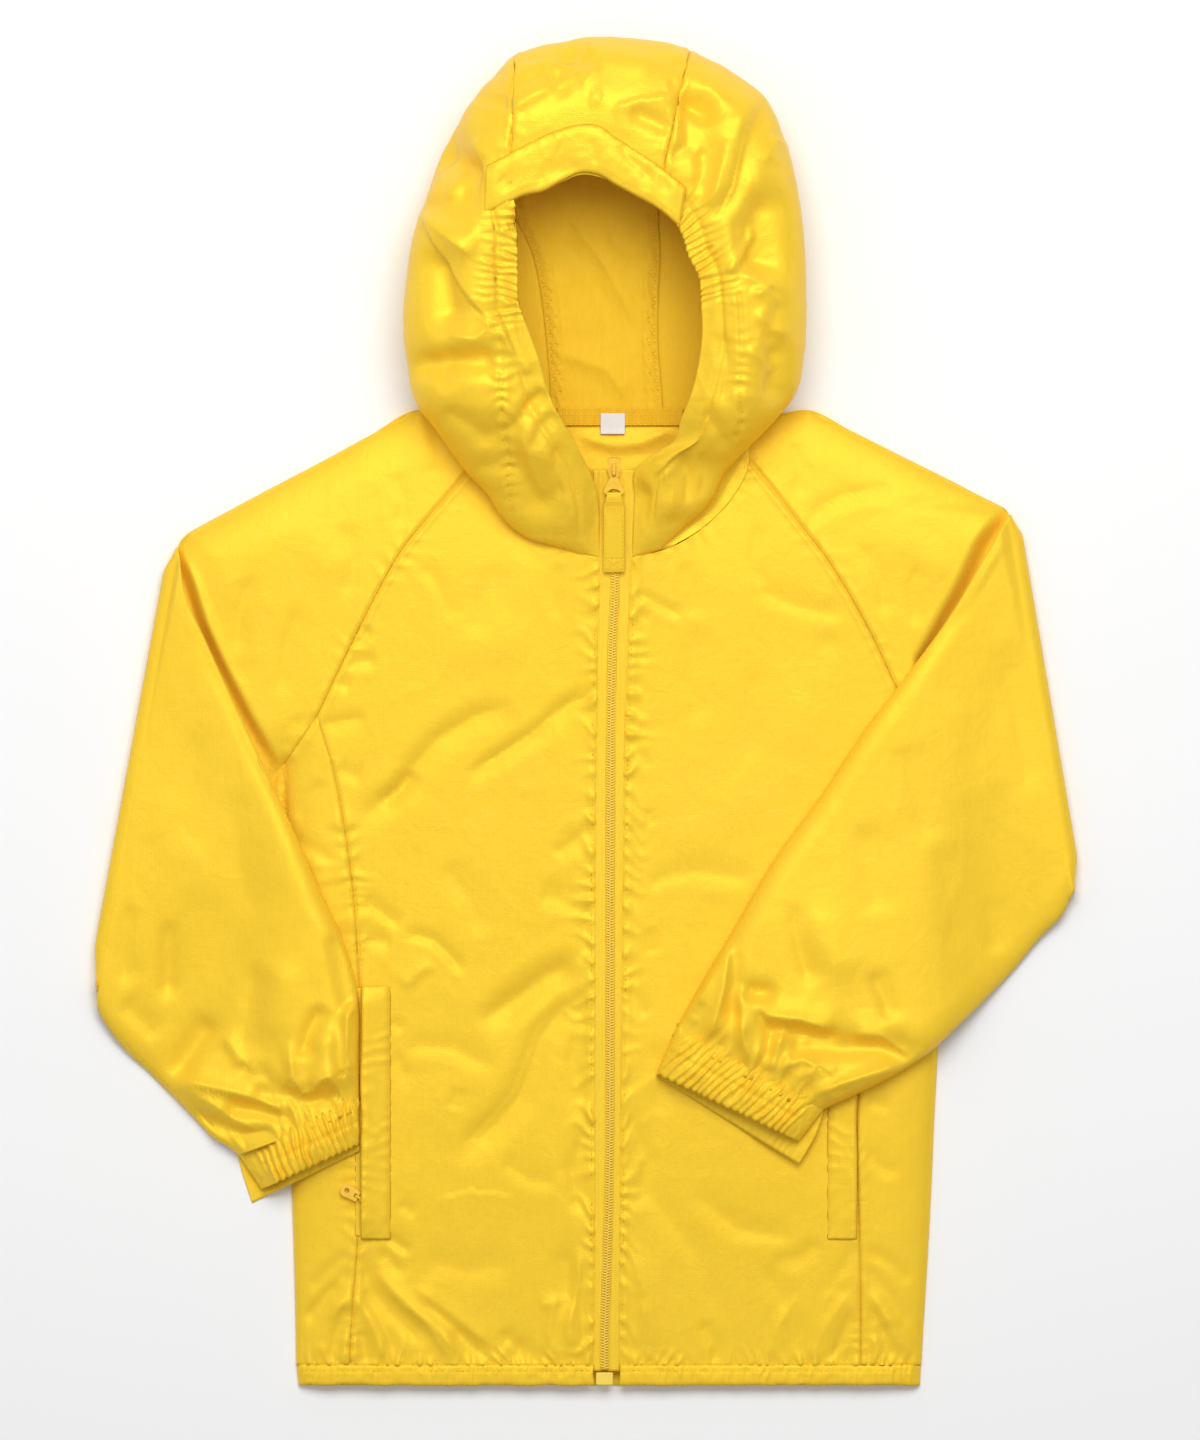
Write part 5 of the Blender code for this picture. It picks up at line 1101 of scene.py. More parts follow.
def under_brim(x, y):
    """1 under the brim band, fading out round it."""
    d = line_info(x, y, BRIM_RING + BRIM_RING[:1])[0]
    return np.where(inside(x, y, BRIM_RING), 1.0, np.exp(-(d / 5.0) ** 2))


def hood_relief(x, y, z, j, total, seed, mouth):
    """Normal displacement of the hood: listed creases above, soft ones below and inside."""
    up = smooth((z - 22) / 14.0)
    low = 1 - up
    h = up * (relief(x, y, HOODY, 1.6) + rough(x, y, seed, 44) * 0.8)
    h += low * (relief(x, y, HOOD_IN, 1.4) + rough(x, y, seed + 9, 26) * 0.8)
    d, pos, length, _ = line_info(x, y, mouth)
    near = up * np.exp(-(d / 17.0) ** 4)
    flat = under_brim(x, y) * up
    h = lerp(h, np.minimum(h, -0.4) * 0 - 0.4, flat)
    # casing: a soft roll at the mouth's edge, its stitched line and gathers
    h += near * (1.0 - 1.3 * np.exp(-((d - 19) / 2.2) ** 2))
    h -= up * 1.2 * np.exp(-((d - 20) / 2.4) ** 2)
    return h, d, pos, up


MOUTH_L = [(r[0], r[1]) for r in HOOD_LEFT]
MOUTH_R = [(r[0], r[1]) for r in HOOD_RIGHT]
CASE_L = points("489,322 497,331 502,350 502,412 507,471 510,504 512,530")
CASE_R = points("738,296 740,308 742,359 739,393 742,421 736,438")


def hood_side(name, table, sgn, node_name, seed, mouth, right):
    t = np.array(table, float)
    q = rows_of([t[:, 0:2], t[:, 4:6]], 1.5)
    m, o = spline(t[:, 0:2], q), spline(t[:, 4:6], q)
    mz, kz, oz = (np.interp(q, np.arange(len(t)), t[:, k])[:, None] for k in (2, 3, 6))
    s_up = spline(t[:10, 7:9], np.clip(q, 0, 9))
    s_up[:, 0] = back_seam(s_up[:, 1], right)
    s_low = spline(t[9:, 7:9], np.clip(q - 9, 0, len(t) - 10))
    s = np.where(q[:, None] <= 9, s_up, s_low)
    # the foot of the hood goes under the neck edge of the front
    foot = smooth((q[:, None] - 11.0) / 1.5)
    s = s + 3.2 * foot * (o - m) / np.hypot(o[:, :1] - m[:, :1], o[:, 1:] - m[:, 1:])
    x, y, z = hood_points(m, mz, kz, o, oz, s)
    z[:, -NG:] -= 2.3 * foot * smooth((np.linspace(0, 1, NG) - 0.35) / 0.65)[None, :]
    ys = y[-1:] + np.array([[1.3], [2.5], [3.6]])
    xs = np.repeat(x[-1:], 3, 0)
    zs = lerp(z[-1:], np.minimum(z[-1:], front_top(xs, ys) - 1.1), np.array([[0.4], [0.85], [1.0]]))
    x, y, z = np.vstack([x, xs]), np.vstack([y, ys]), np.vstack([z, zs])
    if x.shape[1] % 2 == 0:
        x, y, z = (np.hstack([v[:, :1], 0.5 * (v[:, :1] + v[:, 1:2]), v[:, 1:]]) for v in (x, y, z))
    h, d, pos, up = hood_relief(x, y, z, None, None, seed, mouth)
    # elastic stretch of the mouth: gathers across the casing
    if right:
        amt = smooth((pos - 10) / 15.0) * smooth((120 - pos) / 20.0)
    else:
        amt = smooth((pos - 2) / 12.0) * smooth((130 - pos) / 20.0)
    wob = pos + 2.6 * lattice(pos / 9.0, d / 18.0, seed + 20) + d * 0.18
    g = np.cos(2 * np.pi * wob / 7.4)
    h += up * amt * 1.5 * g * np.exp(-(d / 34.0) ** 4) * (0.8 + 0.5 * lattice(pos / 8.0, d / 20.0, seed + 21))
    # small crinkles along the stitched casing lower down
    h += up * puckers(x, y, CASE_R if right else CASE_L, 13, 9, 1.5, seed + 22, power=1.4)
    h += up * seam(x, y, CASE_R if right else CASE_L, 0.7, 1.8, 0.4, 5)
    top_line = [(table[0][0], table[0][1]), (table[0][4], table[0][5])]
    h += up * (seam(x, y, top_line, 0.8, 2.0, 0.4, 5) + puckers(x, y, top_line, 15, 10, 1.0, seed + 23))
    h[-3:] *= np.array([[0.7], [0.4], [0.2]])
    p = world(x, y, z)
    n, flip = normals(p, (0.5, 0.12, 2, 1))
    fade = smooth((z - 0.5) / 2.0) * 0.9 + 0.1
    p = p + n * (h * fade)[..., None] * 0.001
    # keep the cloth from going below the floor
    row = np.arange(p.shape[0])[:, None, None]
    p[..., 2] = np.maximum(p[..., 2], 0.0)
    n, flip = normals(p, (0.5, 0.12, 2, 1))
    # inner faces take the wrong-side colour, darkened as painted shade of the hood's hollow
    obj = shell(name, p, n, flip, THIN, HOODED, half=False, inside=WRONG_SIDE_AND_SHADE, node=node_name)
    return obj


hood_left = hood_side("v_hood_side_left", HOOD_LEFT, 1, "hood_side_left", 101, MOUTH_L, False)
hood_right = hood_side("v_hood_side_right", HOOD_RIGHT, -1, "hood_side_right", 111, MOUTH_R, True)


def hood_centre():
    t = np.array(HOOD_CENTRE, float)
    k = cells(72)
    q = np.linspace(0, len(t) - 1, k + 1)
    m, o = spline(t[:, 0:2], q), spline(t[:, 2:4], q)
    u = (q / (len(t) - 1))[:, None]
    s = o + np.array([0, 300])
    one = np.ones((len(q), 1))
    x, y, z = hood_points(m, 73 * one, 75 * one, o, 34 * one, s)
    keep = NF + NO + 1
    x, y, z = x[:, :keep], y[:, :keep], z[:, :keep]
    tt = np.radians(np.linspace(0, 90, NU + 1))[None, 1:]
    yy = o[:, 1:] + HOOD_UNDER * (1 - np.cos(tt)) / 0.55
    xx = lerp(back_seam(yy, False), back_seam(yy, True), u)
    zz = 34 * (1 - np.sin(tt)) + 0 * xx
    n_floor = cells(120)
    f = np.linspace(0, 1, n_floor + 1)[None, 1:]
    yf = lerp(yy[:, -1:], 411.0, f)
    xf = lerp(back_seam(yf, False), back_seam(yf, True), u)
    x, y, z = np.hstack([x, xx, xf]), np.hstack([y, yy, yf]), np.hstack([z, zz, 0 * xf])
    if x.shape[1] % 2 == 0:
        x, y, z = (np.hstack([v[:, :1], 0.5 * (v[:, :1] + v[:, 1:2]), v[:, 1:]]) for v in (x, y, z))
    up = smooth((z - 22) / 14.0)
    h = up * (relief(x, y, HOODY, 1.6) + rough(x, y, 121, 44) * 0.8)
    for line in ([(511.5, 203), (514, 56)], [(656, 205), (690, 51)]):
        h += up * (seam(x, y, line, 0.8, 2.0, 0.4, 5) + puckers(x, y, line, 15, 10, 1.0, 123))
    d = line_info(x, y, [(r[0], r[1]) for r in HOOD_CENTRE])[0]
    h = lerp(h * smooth((d - 20) / 40.0 + 0.15), -0.4, under_brim(x, y) * up)
    floor = 1 - up
    inner = relief(x, y, HOOD_IN, 1.5) + rough(x, y, 125, 30) * 0.7
    for sg, right in ((-1, False), (1, True)):
        d = np.abs(x - back_seam(y, right) + sg * 8.0)
        inner += np.exp(-(d / 6.5) ** 6) * (0.9 + 0.35 * np.cos(2 * np.pi * (y + x) / 4.6) * np.cos(2 * np.pi * (y - x) / 5.4) * 2.0)
    inner = np.clip(inner, -0.2, 2.6)
    p = world(x, y, z)
    n, flip = normals(p, (0.5, 0.12, 2, 1))
    p = p + n * (h * up)[..., None] * 0.001
    low = (z < 1.0)
    side_fade = smooth(u * 12) * smooth((1 - u) * 12)
    p[..., 2] += np.where(low, 0.2 + inner * side_fade, 0) * 0.001
    for k_, sg in ((0, -1), (-1, 1)):
        p[k_] -= n[k_] * 0.0006
        p[k_, :, 0] += sg * 1.2 * STEP
    p[..., 2] = np.maximum(p[..., 2], 0.0)
    n, flip = normals(p, (0.5, 0.12, 2, 1))
    # inner faces take the wrong-side colour, darkened as painted shade of the hood's hollow
    obj = shell("v_hood_centre", p, n, flip, THIN, HOODED, half=False, inside=WRONG_SIDE_AND_SHADE, node="hood_centre")
    return obj


hood_mid = hood_centre()


def brim():
    t = np.array(BRIM, float)
    q = np.linspace(0, len(t) - 1, cells(96) + 1)
    g = spline(t, q)
    f = np.linspace(0, 1, cells(26) + 1)[None, :]
    x, y = lerp(g[:, :1], g[:, 2:3], f), lerp(g[:, 1:2], g[:, 3:4], f)
    z = 73.9 + 1.2 * smooth(f) + 1.2 + 0 * x
    h = relief(x, y, [
        ("v", 1.2, 6, "532,186 550,178 582,166"), ("v", 1.4, 5, "618,144 628,161 656,186"), ("v", 0.8, 5, "500,180 512,192"),
        ("v", 0.8, 5, "590,140 596,156 592,170"), ("b", 0.9, 12, "600,150 606,160"), ("v", 0.8, 4, "660,178 668,196"),
    ]) + rough(x, y, 131, 18) * 0.7
    h += puckers(x, y, [(r[2], r[3]) for r in BRIM], 13, 8, 0.8, 133)
    h += 0.5 * np.sqrt(np.clip(1 - (2 * f - 1) ** 6, 0, 1)) - 0.5 * np.exp(-((f - 0.12) / 0.035) ** 2) - 0.5 * np.exp(-((f - 0.9) / 0.035) ** 2)
    z = z + h - 2.2 * (1 - smooth(f / 0.08)) - 1.6 * (1 - smooth((1 - f) / 0.07))
    z = np.minimum(z, 78.6)
    ends = np.minimum(q, len(t) - 1 - q)[:, None]
    z = z - 1.3 * (1 - smooth(ends / 0.5))
    p = world(x, y, z)
    n, flip = normals(p, (0.5, 0.5, 2, 1))
    obj = shell("v_hood_brim", p, n, flip, 0.9, HOODED, half=True, node="hood_brim")
    return obj


brim_obj = brim()


# ---------------------------------------------------------------- small cloth pieces
def strip(name, x, y, z, thick, mat, node_name, slot, body="garment", half=False):
    p = world(x, y, z)
    n, flip = normals(p, (0.5, 0.5, 2, 1))
    obj = shell(name, p, n, flip, thick, mat, half=half, node=node_name, slot=slot, body=body)
    return obj


xx, yy = np.meshgrid(np.linspace(557, 683, 121), np.linspace(407.5, 425.5, 19))
zz = 2.3 + 0.35 * np.abs(np.mod((xx + 3 * np.where(np.mod(yy, 8) < 4, np.mod(yy, 4), 4 - np.mod(yy, 4))) / 5.0, 1) * 2 - 1) + 0.2 * rough(xx, yy, 141, 20)
neck_tape = strip("v_neck_tape", xx, yy, zz, 0.5, NEEDLE, "neck_tape", "binding")
xx, yy = np.meshgrid(np.linspace(600.5, 625, 29), np.linspace(413, 434, 25))
zz = 3.25 + 0.12 * rough(xx, yy, 143, 12) + 0.5 * smooth((yy - 428) / 8)
label = strip("v_size_label", xx, yy, zz, 0.35, LABEL, "size_label", "label")


def welt(name, x_free, x_sewn, lift, node_name, left):
    v = np.linspace(986, 1239, cells(150) + 1)[:, None]
    f = np.linspace(0, 1, cells(16) + 1)[None, :]
    x = lerp(x_free, x_sewn, f) + 0 * v
    y = v + 0 * x
    end = smooth((v - 976) / 30.0) * smooth((1249 - v) / 30.0)
    z = front_top(x, y) + 0.5 * body_relief(x, y, left) + 1.2 + lift * end * (1 - f)
    h = rough(x, y, 151, 22) * 0.5 + puckers(x, y, [(x_sewn, 986), (x_sewn, 1239)], 16, 9, 0.8, 153)
    h -= 0.45 * np.exp(-((f - 0.9) / 0.04) ** 2) + 0.35 * np.exp(-((f - 0.1) / 0.04) ** 2)
    z = z + h - 1.2 * (1 - smooth((1 - f) / 0.1)) - 0.9 * (1 - smooth(f / 0.08))
    x = x + 1.2 * lattice(v / 40.0, 0 * v, 155) * (1 - f) * (1 if left else -1) * 0.6
    return strip(name, x, y, z, 0.6, SHELL, node_name, "shell")


welt_left = welt("v_pocket_welt_left", 361.0, 391.0, 4.4, "pocket_welt_left", True)
welt_right = welt("v_pocket_welt_right", 857.0, 827.0, 1.2, "pocket_welt_right", False)
v = np.linspace(988, 1236, 121)[:, None]
xx = 366 + np.linspace(-11, 11, 13)[None, :] + 0 * v
yy = v + 0 * xx
zz = front_top(xx, yy) + 1.0 - 0.7 * np.clip(np.abs(xx - 366) / 11.0, 0, 1) ** 2
pocket_tape = strip("v_pocket_zip_left", xx, yy, zz, 0.35, TAPE, "pocket_zip_left", "zip_tape")


def zip_z(y):
    return table_at(ZIP, y, 4)


def zip_tape(name, col, sgn, node_name):
    v = np.linspace(470, 1371, cells(420) + 1)[:, None]
    outer = table_at(ZIP, v, col) + 7.0 * sgn
    inner = table_at(ZIP, v, 1) + 3.6 * sgn
    f = np.linspace(0, 1, cells(14) + 1)[None, :]
    x = lerp(outer, inner, f)
    y = v + 0 * x
    edge = table_at(ZIP, v, col)
    under = smooth((sgn * (x - edge) + 1.5) / 3.0)
    z = zip_z(v) - 0.1 - 1.5 * under * smooth((v - 556) / 12.0) - 0.6 * smooth(sgn * (x - edge) / 3.0)
    z = z + 0.18 * rough(x, y, 161, 16) + 0.15 * np.cos(2 * np.pi * (x - inner) / 3.4) * (1 - under)
    return strip(name, x, y, z, 0.45, TAPE, node_name, "zip_tape")


tape_left = zip_tape("v_zip_tape_left", 2, -1, "zip_tape_left")
tape_right = zip_tape("v_zip_tape_right", 3, 1, "zip_tape_right")


# ---------------------------------------------------------------- coil, stitches
def capsules(name, items, mat, body="garment", node=(), slot="shell", ring=6):
    """Many small rods in one mesh. Each item: start, end, up, radius, arch, in metres."""
    verts, faces = [], []
    ts = (0.0, 0.14, 0.5, 0.86, 1.0)
    rs = (0.25, 0.85, 1.0, 0.85, 0.25)
    ang = [2 * math.pi * k / ring for k in range(ring)]
    for a, b, up, rad, arch in items:
        a, b, up = Vector(a), Vector(b), Vector(up)
        d = (b - a)
        if d.length < 1e-7:
            continue
        side = d.cross(up)
        side.normalize()
        top = side.cross(d)
        top.normalize()
        base = len(verts)
        for t, r in zip(ts, rs):
            c = a + d * t + top * (arch * (1 - (2 * t - 1) ** 2))
            for g in ang:
                verts.append(c + side * (math.cos(g) * rad * r) + top * (math.sin(g) * rad * r))
        for k in range(len(ts) - 1):
            for i in range(ring):
                j = (i + 1) % ring
                faces.append((base + k * ring + i, base + k * ring + j, base + (k + 1) * ring + j, base + (k + 1) * ring + i))
        faces.append(tuple(base + i for i in reversed(range(ring))))
        faces.append(tuple(base + (len(ts) - 1) * ring + i for i in range(ring)))
    # faces face out
    mesh_verts = [tuple(p) for p in verts]
    obj = mesh_object(name, mesh_verts, [f[::-1] for f in faces], mat, body=body, node=node, slot=slot)
    return obj


def coil():
    items = []
    y = 483.0
    pitch = 1.5 / 0.55 * 1.0
    while y < 1369:
        mid, z = float(table_at(ZIP, y, 1)), float(zip_z(y))
        p = [world(np.float64(mid + dx), np.float64(y + dy), np.float64(z + dz)) for dx, dy, dz in
             ((-4.3, -0.5, 0.7), (0.9, 0.5, 1.15), (-0.9, 0.5 + pitch / 2, 1.15), (4.3, -0.5 + pitch / 2, 0.7))]
        items.append((p[0], p[1], (0, 0, 1), 0.00046, 0.0002))
        items.append((p[2], p[3], (0, 0, 1), 0.00046, 0.0002))
        y += pitch
    teeth = capsules("v_zip_coil", items, TEETH, node="zip_coil", slot="zip_coil", ring=6)
    # the bed that the teeth are sewn to
    v = np.linspace(482, 1370, cells(240) + 1)[:, None]
    x = table_at(ZIP, v, 1) + np.linspace(-4.8, 4.8, 9)[None, :]
    y = v + 0 * x
    z = zip_z(v) + 0.35 + 0 * x
    p = world(x, y, z)
    n, flip = normals(p, (0.5, 0.5, 2, 1))
    shell("v_zip_bed", p, n, flip, 0.5, TAPE, half=False, slot="zip_tape")


coil()


def run_points(line, gap):
    """Points spaced gap steps along a chart line, with directions."""
    pts = spline(line, np.linspace(0, len(line) - 1, 40 * (len(line) - 1) + 1))
    d = np.concatenate([[0], np.cumsum(np.hypot(*np.diff(pts, axis=0).T))])
    s = np.arange(gap * 0.5, d[-1], gap)
    return np.stack([np.interp(s, d, pts[:, 0]), np.interp(s, d, pts[:, 1])], 1), s, d, pts


def offset_line(line, off):
    p = np.array(line, float)
    t = np.gradient(p, axis=0)
    n = np.stack([t[:, 1], -t[:, 0]], 1)
    n /= np.maximum(np.linalg.norm(n, axis=1, keepdims=True), 1e-9)
    return [tuple(v) for v in p + n * off]


TREES = {}


def stitch_items(line, piece, pitch=5.0, share=0.66, radius=0.00028, zigzag=0.0, lift=0.00012):
    if piece not in TREES:
        TREES[piece] = tree_of(PIECES[piece])
    tree = TREES[piece]
    pts, s, d, fine = run_points(line, pitch)
    out = []
    for k, sk in enumerate(s):
        ends = []
        for e in (-1, 1):
            u = sk + e * pitch * share / 2
            x, y = np.interp(u, d, fine[:, 0]), np.interp(u, d, fine[:, 1])
            if zigzag:
                u0, u1 = np.interp(u - 0.5, d, fine[:, 0]), np.interp(u + 0.5, d, fine[:, 0])
                w0, w1 = np.interp(u - 0.5, d, fine[:, 1]), np.interp(u + 0.5, d, fine[:, 1])
                dx, dy = u1 - u0, w1 - w0
                l = math.hypot(dx, dy) + 1e-9
                sign = e * (1 if k % 2 else -1)
                x, y = x + dy / l * zigzag * sign, y - dx / l * zigzag * sign
            w = world(np.float64(x), np.float64(y), np.float64(200))
            hit = tree.ray_cast(Vector(w), Vector((0, 0, -1)), 0.4)
            if hit[0] is None:
                break
            ends.append((hit[0], hit[1]))
        if len(ends) == 2:
            (a, na), (b, nb) = ends
            if (a - b).length > pitch * STEP * 1.8:
                continue
            up = (na + nb)
            up.normalize()
            out.append((a + up * lift, b + up * lift, up, radius, 0.00012))
    return out


def stitches():
    L, R = "v_front_left", "v_front_right"
    sets = []
    for line, piece, other, sg in ((RAGLAN_L, "v_sleeve_left", L, 1), (RAGLAN_R, "v_sleeve_right", R, -1)):
        sets += stitch_items(offset_line(line[:9], 3.2 * sg), piece)
        sets += stitch_items(offset_line(line[:9], 5.6 * sg), piece)
    sets += stitch_items(offset_line(SEAM_L[1:], -3.0), "v_back", 5.0) + stitch_items(offset_line(SEAM_L[1:], 3.0), L, 5.0)
    sets += stitch_items(offset_line(SEAM_R[1:], 3.0), "v_back", 5.0)
    sets += stitch_items(offset_line(NECK_LEFT, 3.2), L) + stitch_items(offset_line(NECK_RIGHT, -3.2), R)
    sets += stitch_items([(r[3] + 3.4, r[0]) for r in ZIP if r[0] > 556], R, 5.0)
    sets += stitch_items([(r[2] - 3.4, r[0]) for r in ZIP if r[0] > 556], L, 5.0)
    sets += stitch_items([(299, 1370.5), (450, 1371), (592, 1370.5)], "v_hem_binding", 5.2)
    sets += stitch_items([(621, 1370.5), (760, 1371), (918, 1370.5)], "v_hem_binding", 5.2)
    sets += stitch_items([(388, 990), (388, 1236)], "v_pocket_welt_left", 4.2, zigzag=1.1)
    sets += stitch_items([(363.5, 988), (363.5, 1237)], "v_pocket_welt_left", 4.6)
    sets += stitch_items([(363, 1236.5), (390, 1236.5)], "v_pocket_welt_left", 4.2)
    sets += stitch_items([(363, 988.5), (390, 988.5)], "v_pocket_welt_left", 4.2)
    sets += stitch_items([(830, 1112), (830, 1236)], "v_pocket_welt_right", 4.6)
    sets += stitch_items([(854.5, 1112), (854.5, 1236)], "v_pocket_welt_right", 4.6)
    sets += stitch_items([(830, 1236.5), (855, 1236.5)], "v_pocket_welt_right", 4.2)
    sets += stitch_items(CASE_L, "v_hood_side_left", 5.0) + stitch_items(CASE_R, "v_hood_side_right", 5.0)
    sets += stitch_items([(r[2], r[3] + 2.6) for r in BRIM], "v_hood_brim", 4.8)
    sets += stitch_items([(r[0], r[1] - 6.0) for r in BRIM], "v_hood_brim", 4.8)
    sets += stitch_items([(508, 195), (510, 150), (511, 62)], "v_hood_side_left", 5.2)
    sets += stitch_items([(664, 190), (676, 140), (694, 58)], "v_hood_side_right", 5.2)
    for dy in (3.0, 8.0):
        sets += stitch_items([(559, 407.5 + dy), (681, 407.5 + dy)], "v_neck_tape", 4.0, zigzag=1.4)
    for dy in (2.5, 6.0):
        sets += stitch_items([(601.5, 413 + dy), (624, 413 + dy)], "v_size_label", 3.4, zigzag=1.3, radius=0.00036, lift=0.0003)
    # seams seen inside the hood
    for right in (False, True):
        ys = np.linspace(214, 400, 14)
        for off in (3.5, 8.5):
            sets += stitch_items([(float(back_seam(v, right)) + (off if right is False else -off), float(v)) for v in ys], "v_hood_centre", 3.4, zigzag=2.3, radius=0.0003)
    capsules("v_stitches", sets, THREAD_AND_HOLE_SHADE, slot="shell", ring=5)


stitches()

# ---------------------------------------------------------------- zip pull strap
HINGE_Y = 470.0
TIP = math.atan2((float(zip_z(470)) - float(zip_z(557))) * 0.001, (557 - 470) * STEP)
HINGE = world(np.float64(614.0), np.float64(HINGE_Y), zip_z(HINGE_Y) + 3.6)


def tipped(local):
    """Points drawn level round the hinge, mm, to the row frame."""
    local = np.asarray(local, float) * 0.001
    c, s = math.cos(TIP), math.sin(TIP)
    return np.stack([local[..., 0], local[..., 1] * c - local[..., 2] * s, local[..., 1] * s + local[..., 2] * c], -1) + HINGE


def strap():
    end = (497.0 - HINGE_Y) * 0.55
    far = -(574.6 - HINGE_Y) * 0.55
    up = 0.55 + 0.3 + 0.6
    path = np.array([
        (far, 0.75, 5.7), (-50, 0.77, 5.6), (-40, 0.78, 5.5), (-28, 0.8, 5.5), (-end - 5, 0.95, 5.3), (-end - 2.2, up, 4.6),
        (-end + 0.4, up, 3.9), (-end + 2.0, up - 0.5, 3.7), (-end + 2.1, 0.0, 3.7), (-end + 2.0, -up + 0.5, 3.7),
        (-end + 0.4, -up, 3.9), (-end - 2.2, -up, 4.6), (-end - 5, -0.85, 5.3), (-28, -0.72, 5.5), (-40, -0.7, 5.5),
        (-50, -0.68, 5.6), (far, -0.66, 5.7),
    ])
    q = np.linspace(0, len(path) - 1, cells(200) + 1)
    g = spline(path, q)
    u = np.linspace(-1, 1, cells(28) + 1)[None, :]
    x = g[:, 2:3] * u
    y = g[:, 0:1] + 0 * x
    on_top = smooth((8.0 - q) / 1.0)[:, None]
    h = 0.12 * rough(x / 0.55, y / 0.55, 171, 9)
    h = h - 0.28 * np.exp(-((np.abs(u) - 0.86) / 0.05) ** 2)
    bars = sum(np.exp(-((y + (503 + 2.3 * k - HINGE_Y) * 0.55) / 0.32) ** 2) for k in range(5))
    h = h + 0.22 * bars * (np.abs(u) < 0.8)
    box = np.exp(-((y + (573 - HINGE_Y) * 0.55) / 0.4) ** 2) + np.exp(-((y + (560.5 - HINGE_Y) * 0.55) / 0.4) ** 2)
    h = h - 0.28 * box
    z = g[:, 1:2] + on_top * h
    p = tipped(np.stack([x, y, z], -1))
    n, flip = normals(p, (0.2, 0.5, 2, 1))
    obj = shell("v_pull_strap", p, n, flip, 0.5, SHELL, half=False, body="zip_pull", node="pull_strap")
    tree = tree_of(obj)
    items = []

    def along(x0, y0, x1, y1, pitch=2.1):
        n_ = max(1, int(math.hypot(x1 - x0, y1 - y0) / pitch))
        for k in range(n_):
            e = []
            for t in ((k + 0.15) / n_, (k + 0.85) / n_):
                w = tipped([lerp(x0, x1, t), lerp(y0, y1, t), 0.0])
                hit = tree.ray_cast(Vector((w[0], w[1], 0.2)), Vector((0, 0, -1)), 0.4)
                if hit[0] is not None:
                    e.append((hit[0], hit[1]))
            if len(e) == 2:
                items.append((e[0][0], e[1][0], e[0][1], 0.00026, 0.0001))

    for sx in (-4.8, 4.8):
        along(sx, -(515 - HINGE_Y) * 0.55, sx, -(573 - HINGE_Y) * 0.55)
    for yy_ in (560.5, 573):
        along(-4.8, -(yy_ - HINGE_Y) * 0.55, 4.8, -(yy_ - HINGE_Y) * 0.55)
    for k in range(5):
        yy_ = 503 + 2.3 * k
        along(-4.2, -(yy_ - HINGE_Y) * 0.55, 4.2, -(yy_ - HINGE_Y) * 0.55, 1.4)
    along(-4.6, -(561 - HINGE_Y) * 0.55, 4.6, -(572.5 - HINGE_Y) * 0.55)
    along(4.6, -(561 - HINGE_Y) * 0.55, -4.6, -(572.5 - HINGE_Y) * 0.55)
    capsules("v_strap_stitches", items, THREAD_AND_HOLE_SHADE, body="zip_pull", slot="shell", ring=5)


strap()

# ---------------------------------------------------------------- hard parts: CAD shapes, better surface
for name in ("zip_slider", "zip_pull", "zip_box", "pocket_slider", "pocket_pull"):
    o = frame["nodes"][name]
    o.data.materials.clear()
    o.data.materials.append(METAL if name != "zip_box" else TEETH)
    bev = o.modifiers.new("soft_edges", "BEVEL")
    bev.width = 0.00022
    bev.segments = 3
    bev.limit_method = "ANGLE"
    bev.angle_limit = math.radians(32)

# ---------------------------------------------------------------- floor, light, camera
floor_mat = bpy.data.materials.new("pale_floor")
floor_mat.use_nodes = True
fb = floor_mat.node_tree.nodes["Principled BSDF"]
fb.inputs["Base Color"].default_value = (0.97, 0.97, 0.97, 1)
fb.inputs["Roughness"].default_value = 0.9
fb.inputs["Specular IOR Level"].default_value = 0.1
fm = bpy.data.meshes.new("floor")
fm.from_pydata([(-6, -6, -0.0002), (6, -6, -0.0002), (6, 6, -0.0002), (-6, 6, -0.0002)], [], [(0, 1, 2, 3)])
fm.materials.append(floor_mat)
floor = bpy.data.objects.new("floor", fm)
bpy.context.scene.collection.objects.link(floor)

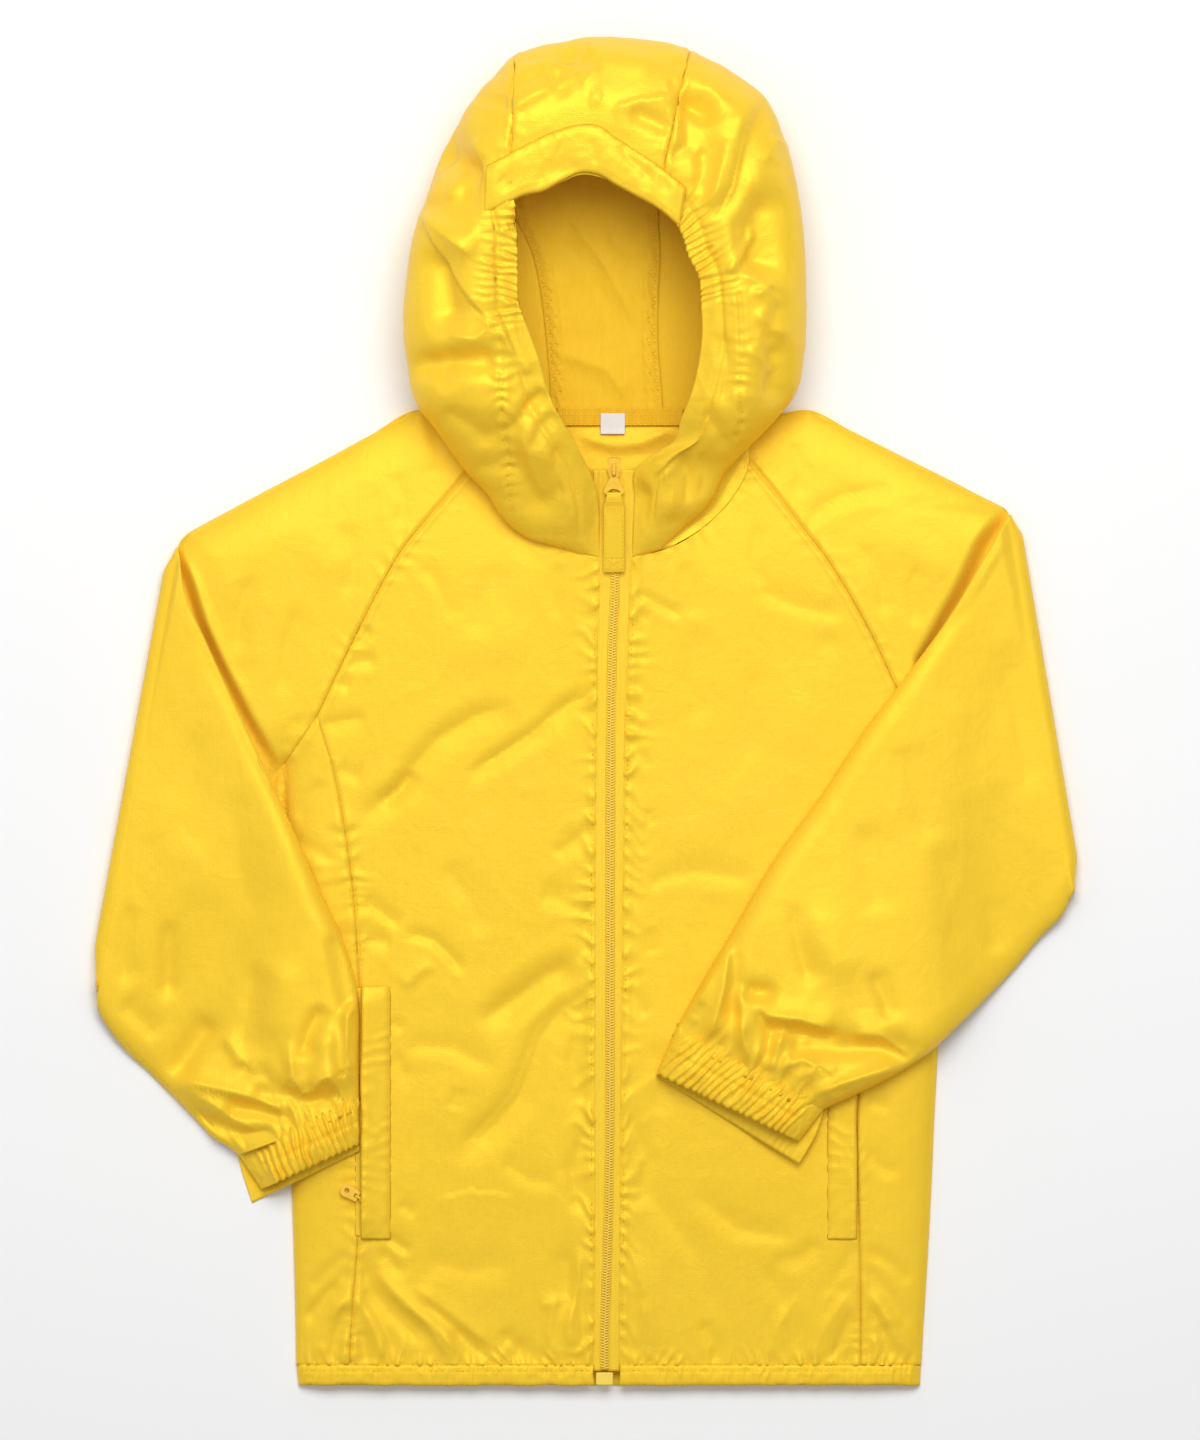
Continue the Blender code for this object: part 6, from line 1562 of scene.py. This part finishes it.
world_ = bpy.data.worlds.new("soft_room")
bpy.context.scene.world = world_
world_.use_nodes = True
bg = world_.node_tree.nodes["Background"]
bg.inputs["Color"].default_value = (1.0, 1.0, 1.0, 1)
sky = world_.node_tree
at = sky.nodes.new("ShaderNodeTexCoord")
part_ = sky.nodes.new("ShaderNodeSeparateXYZ")
ramp_ = sky.nodes.new("ShaderNodeMapRange")
sky.links.new(at.outputs["Generated"], part_.inputs[0])
sky.links.new(part_.outputs["Z"], ramp_.inputs["Value"])
ramp_.inputs["From Min"].default_value = 0.15
ramp_.inputs["From Max"].default_value = 0.95
ramp_.inputs["To Min"].default_value = 0.22
ramp_.inputs["To Max"].default_value = 0.575
sky.links.new(ramp_.outputs["Result"], bg.inputs["Strength"])


def lamp(name, size, energy, at, to=(0, 0, 0), colour=(1, 1, 1)):
    d = bpy.data.lights.new(name, "AREA")
    d.shape = "RECTANGLE"
    d.size, d.size_y = size
    d.energy = energy
    d.color = colour
    o = bpy.data.objects.new(name, d)
    bpy.context.scene.collection.objects.link(o)
    o.location = at
    o.rotation_euler = (Vector(to) - Vector(at)).to_track_quat("-Z", "Y").to_euler()
    return o


lamp("key", (1.5, 1.2), 30.0, (0.10, 0.95, 1.9), to=(0, 0.05, 0))
lamp("side", (0.6, 1.6), 3.0, (-1.7, 0.5, 0.9))

AT = ((600 - CHART_X) * STEP, (CHART_Y - 720) * STEP)
cam = bpy.data.cameras.new("camera")
cam.type = "PERSP"
cam.sensor_fit = "HORIZONTAL"
cam.sensor_width = 36.0
DIST = 14.0
cam.lens = 36.0 * DIST / (1200 * STEP)
cam.clip_end = 60.0
cam_obj = bpy.data.objects.new("camera", cam)
bpy.context.scene.collection.objects.link(cam_obj)
cam_obj.location = (AT[0], AT[1], DIST + 0.01)
cam_obj.rotation_euler = (0, 0, 0)
bpy.context.scene.camera = cam_obj
bpy.context.scene.view_settings.view_transform = "Standard"

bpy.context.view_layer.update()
total = 0
for o in PIECES.values():
    tris = sum(len(p.vertices) - 2 for p in o.data.polygons)
    total += tris
    print("piece", o.name, tris)
print("triangles", total)
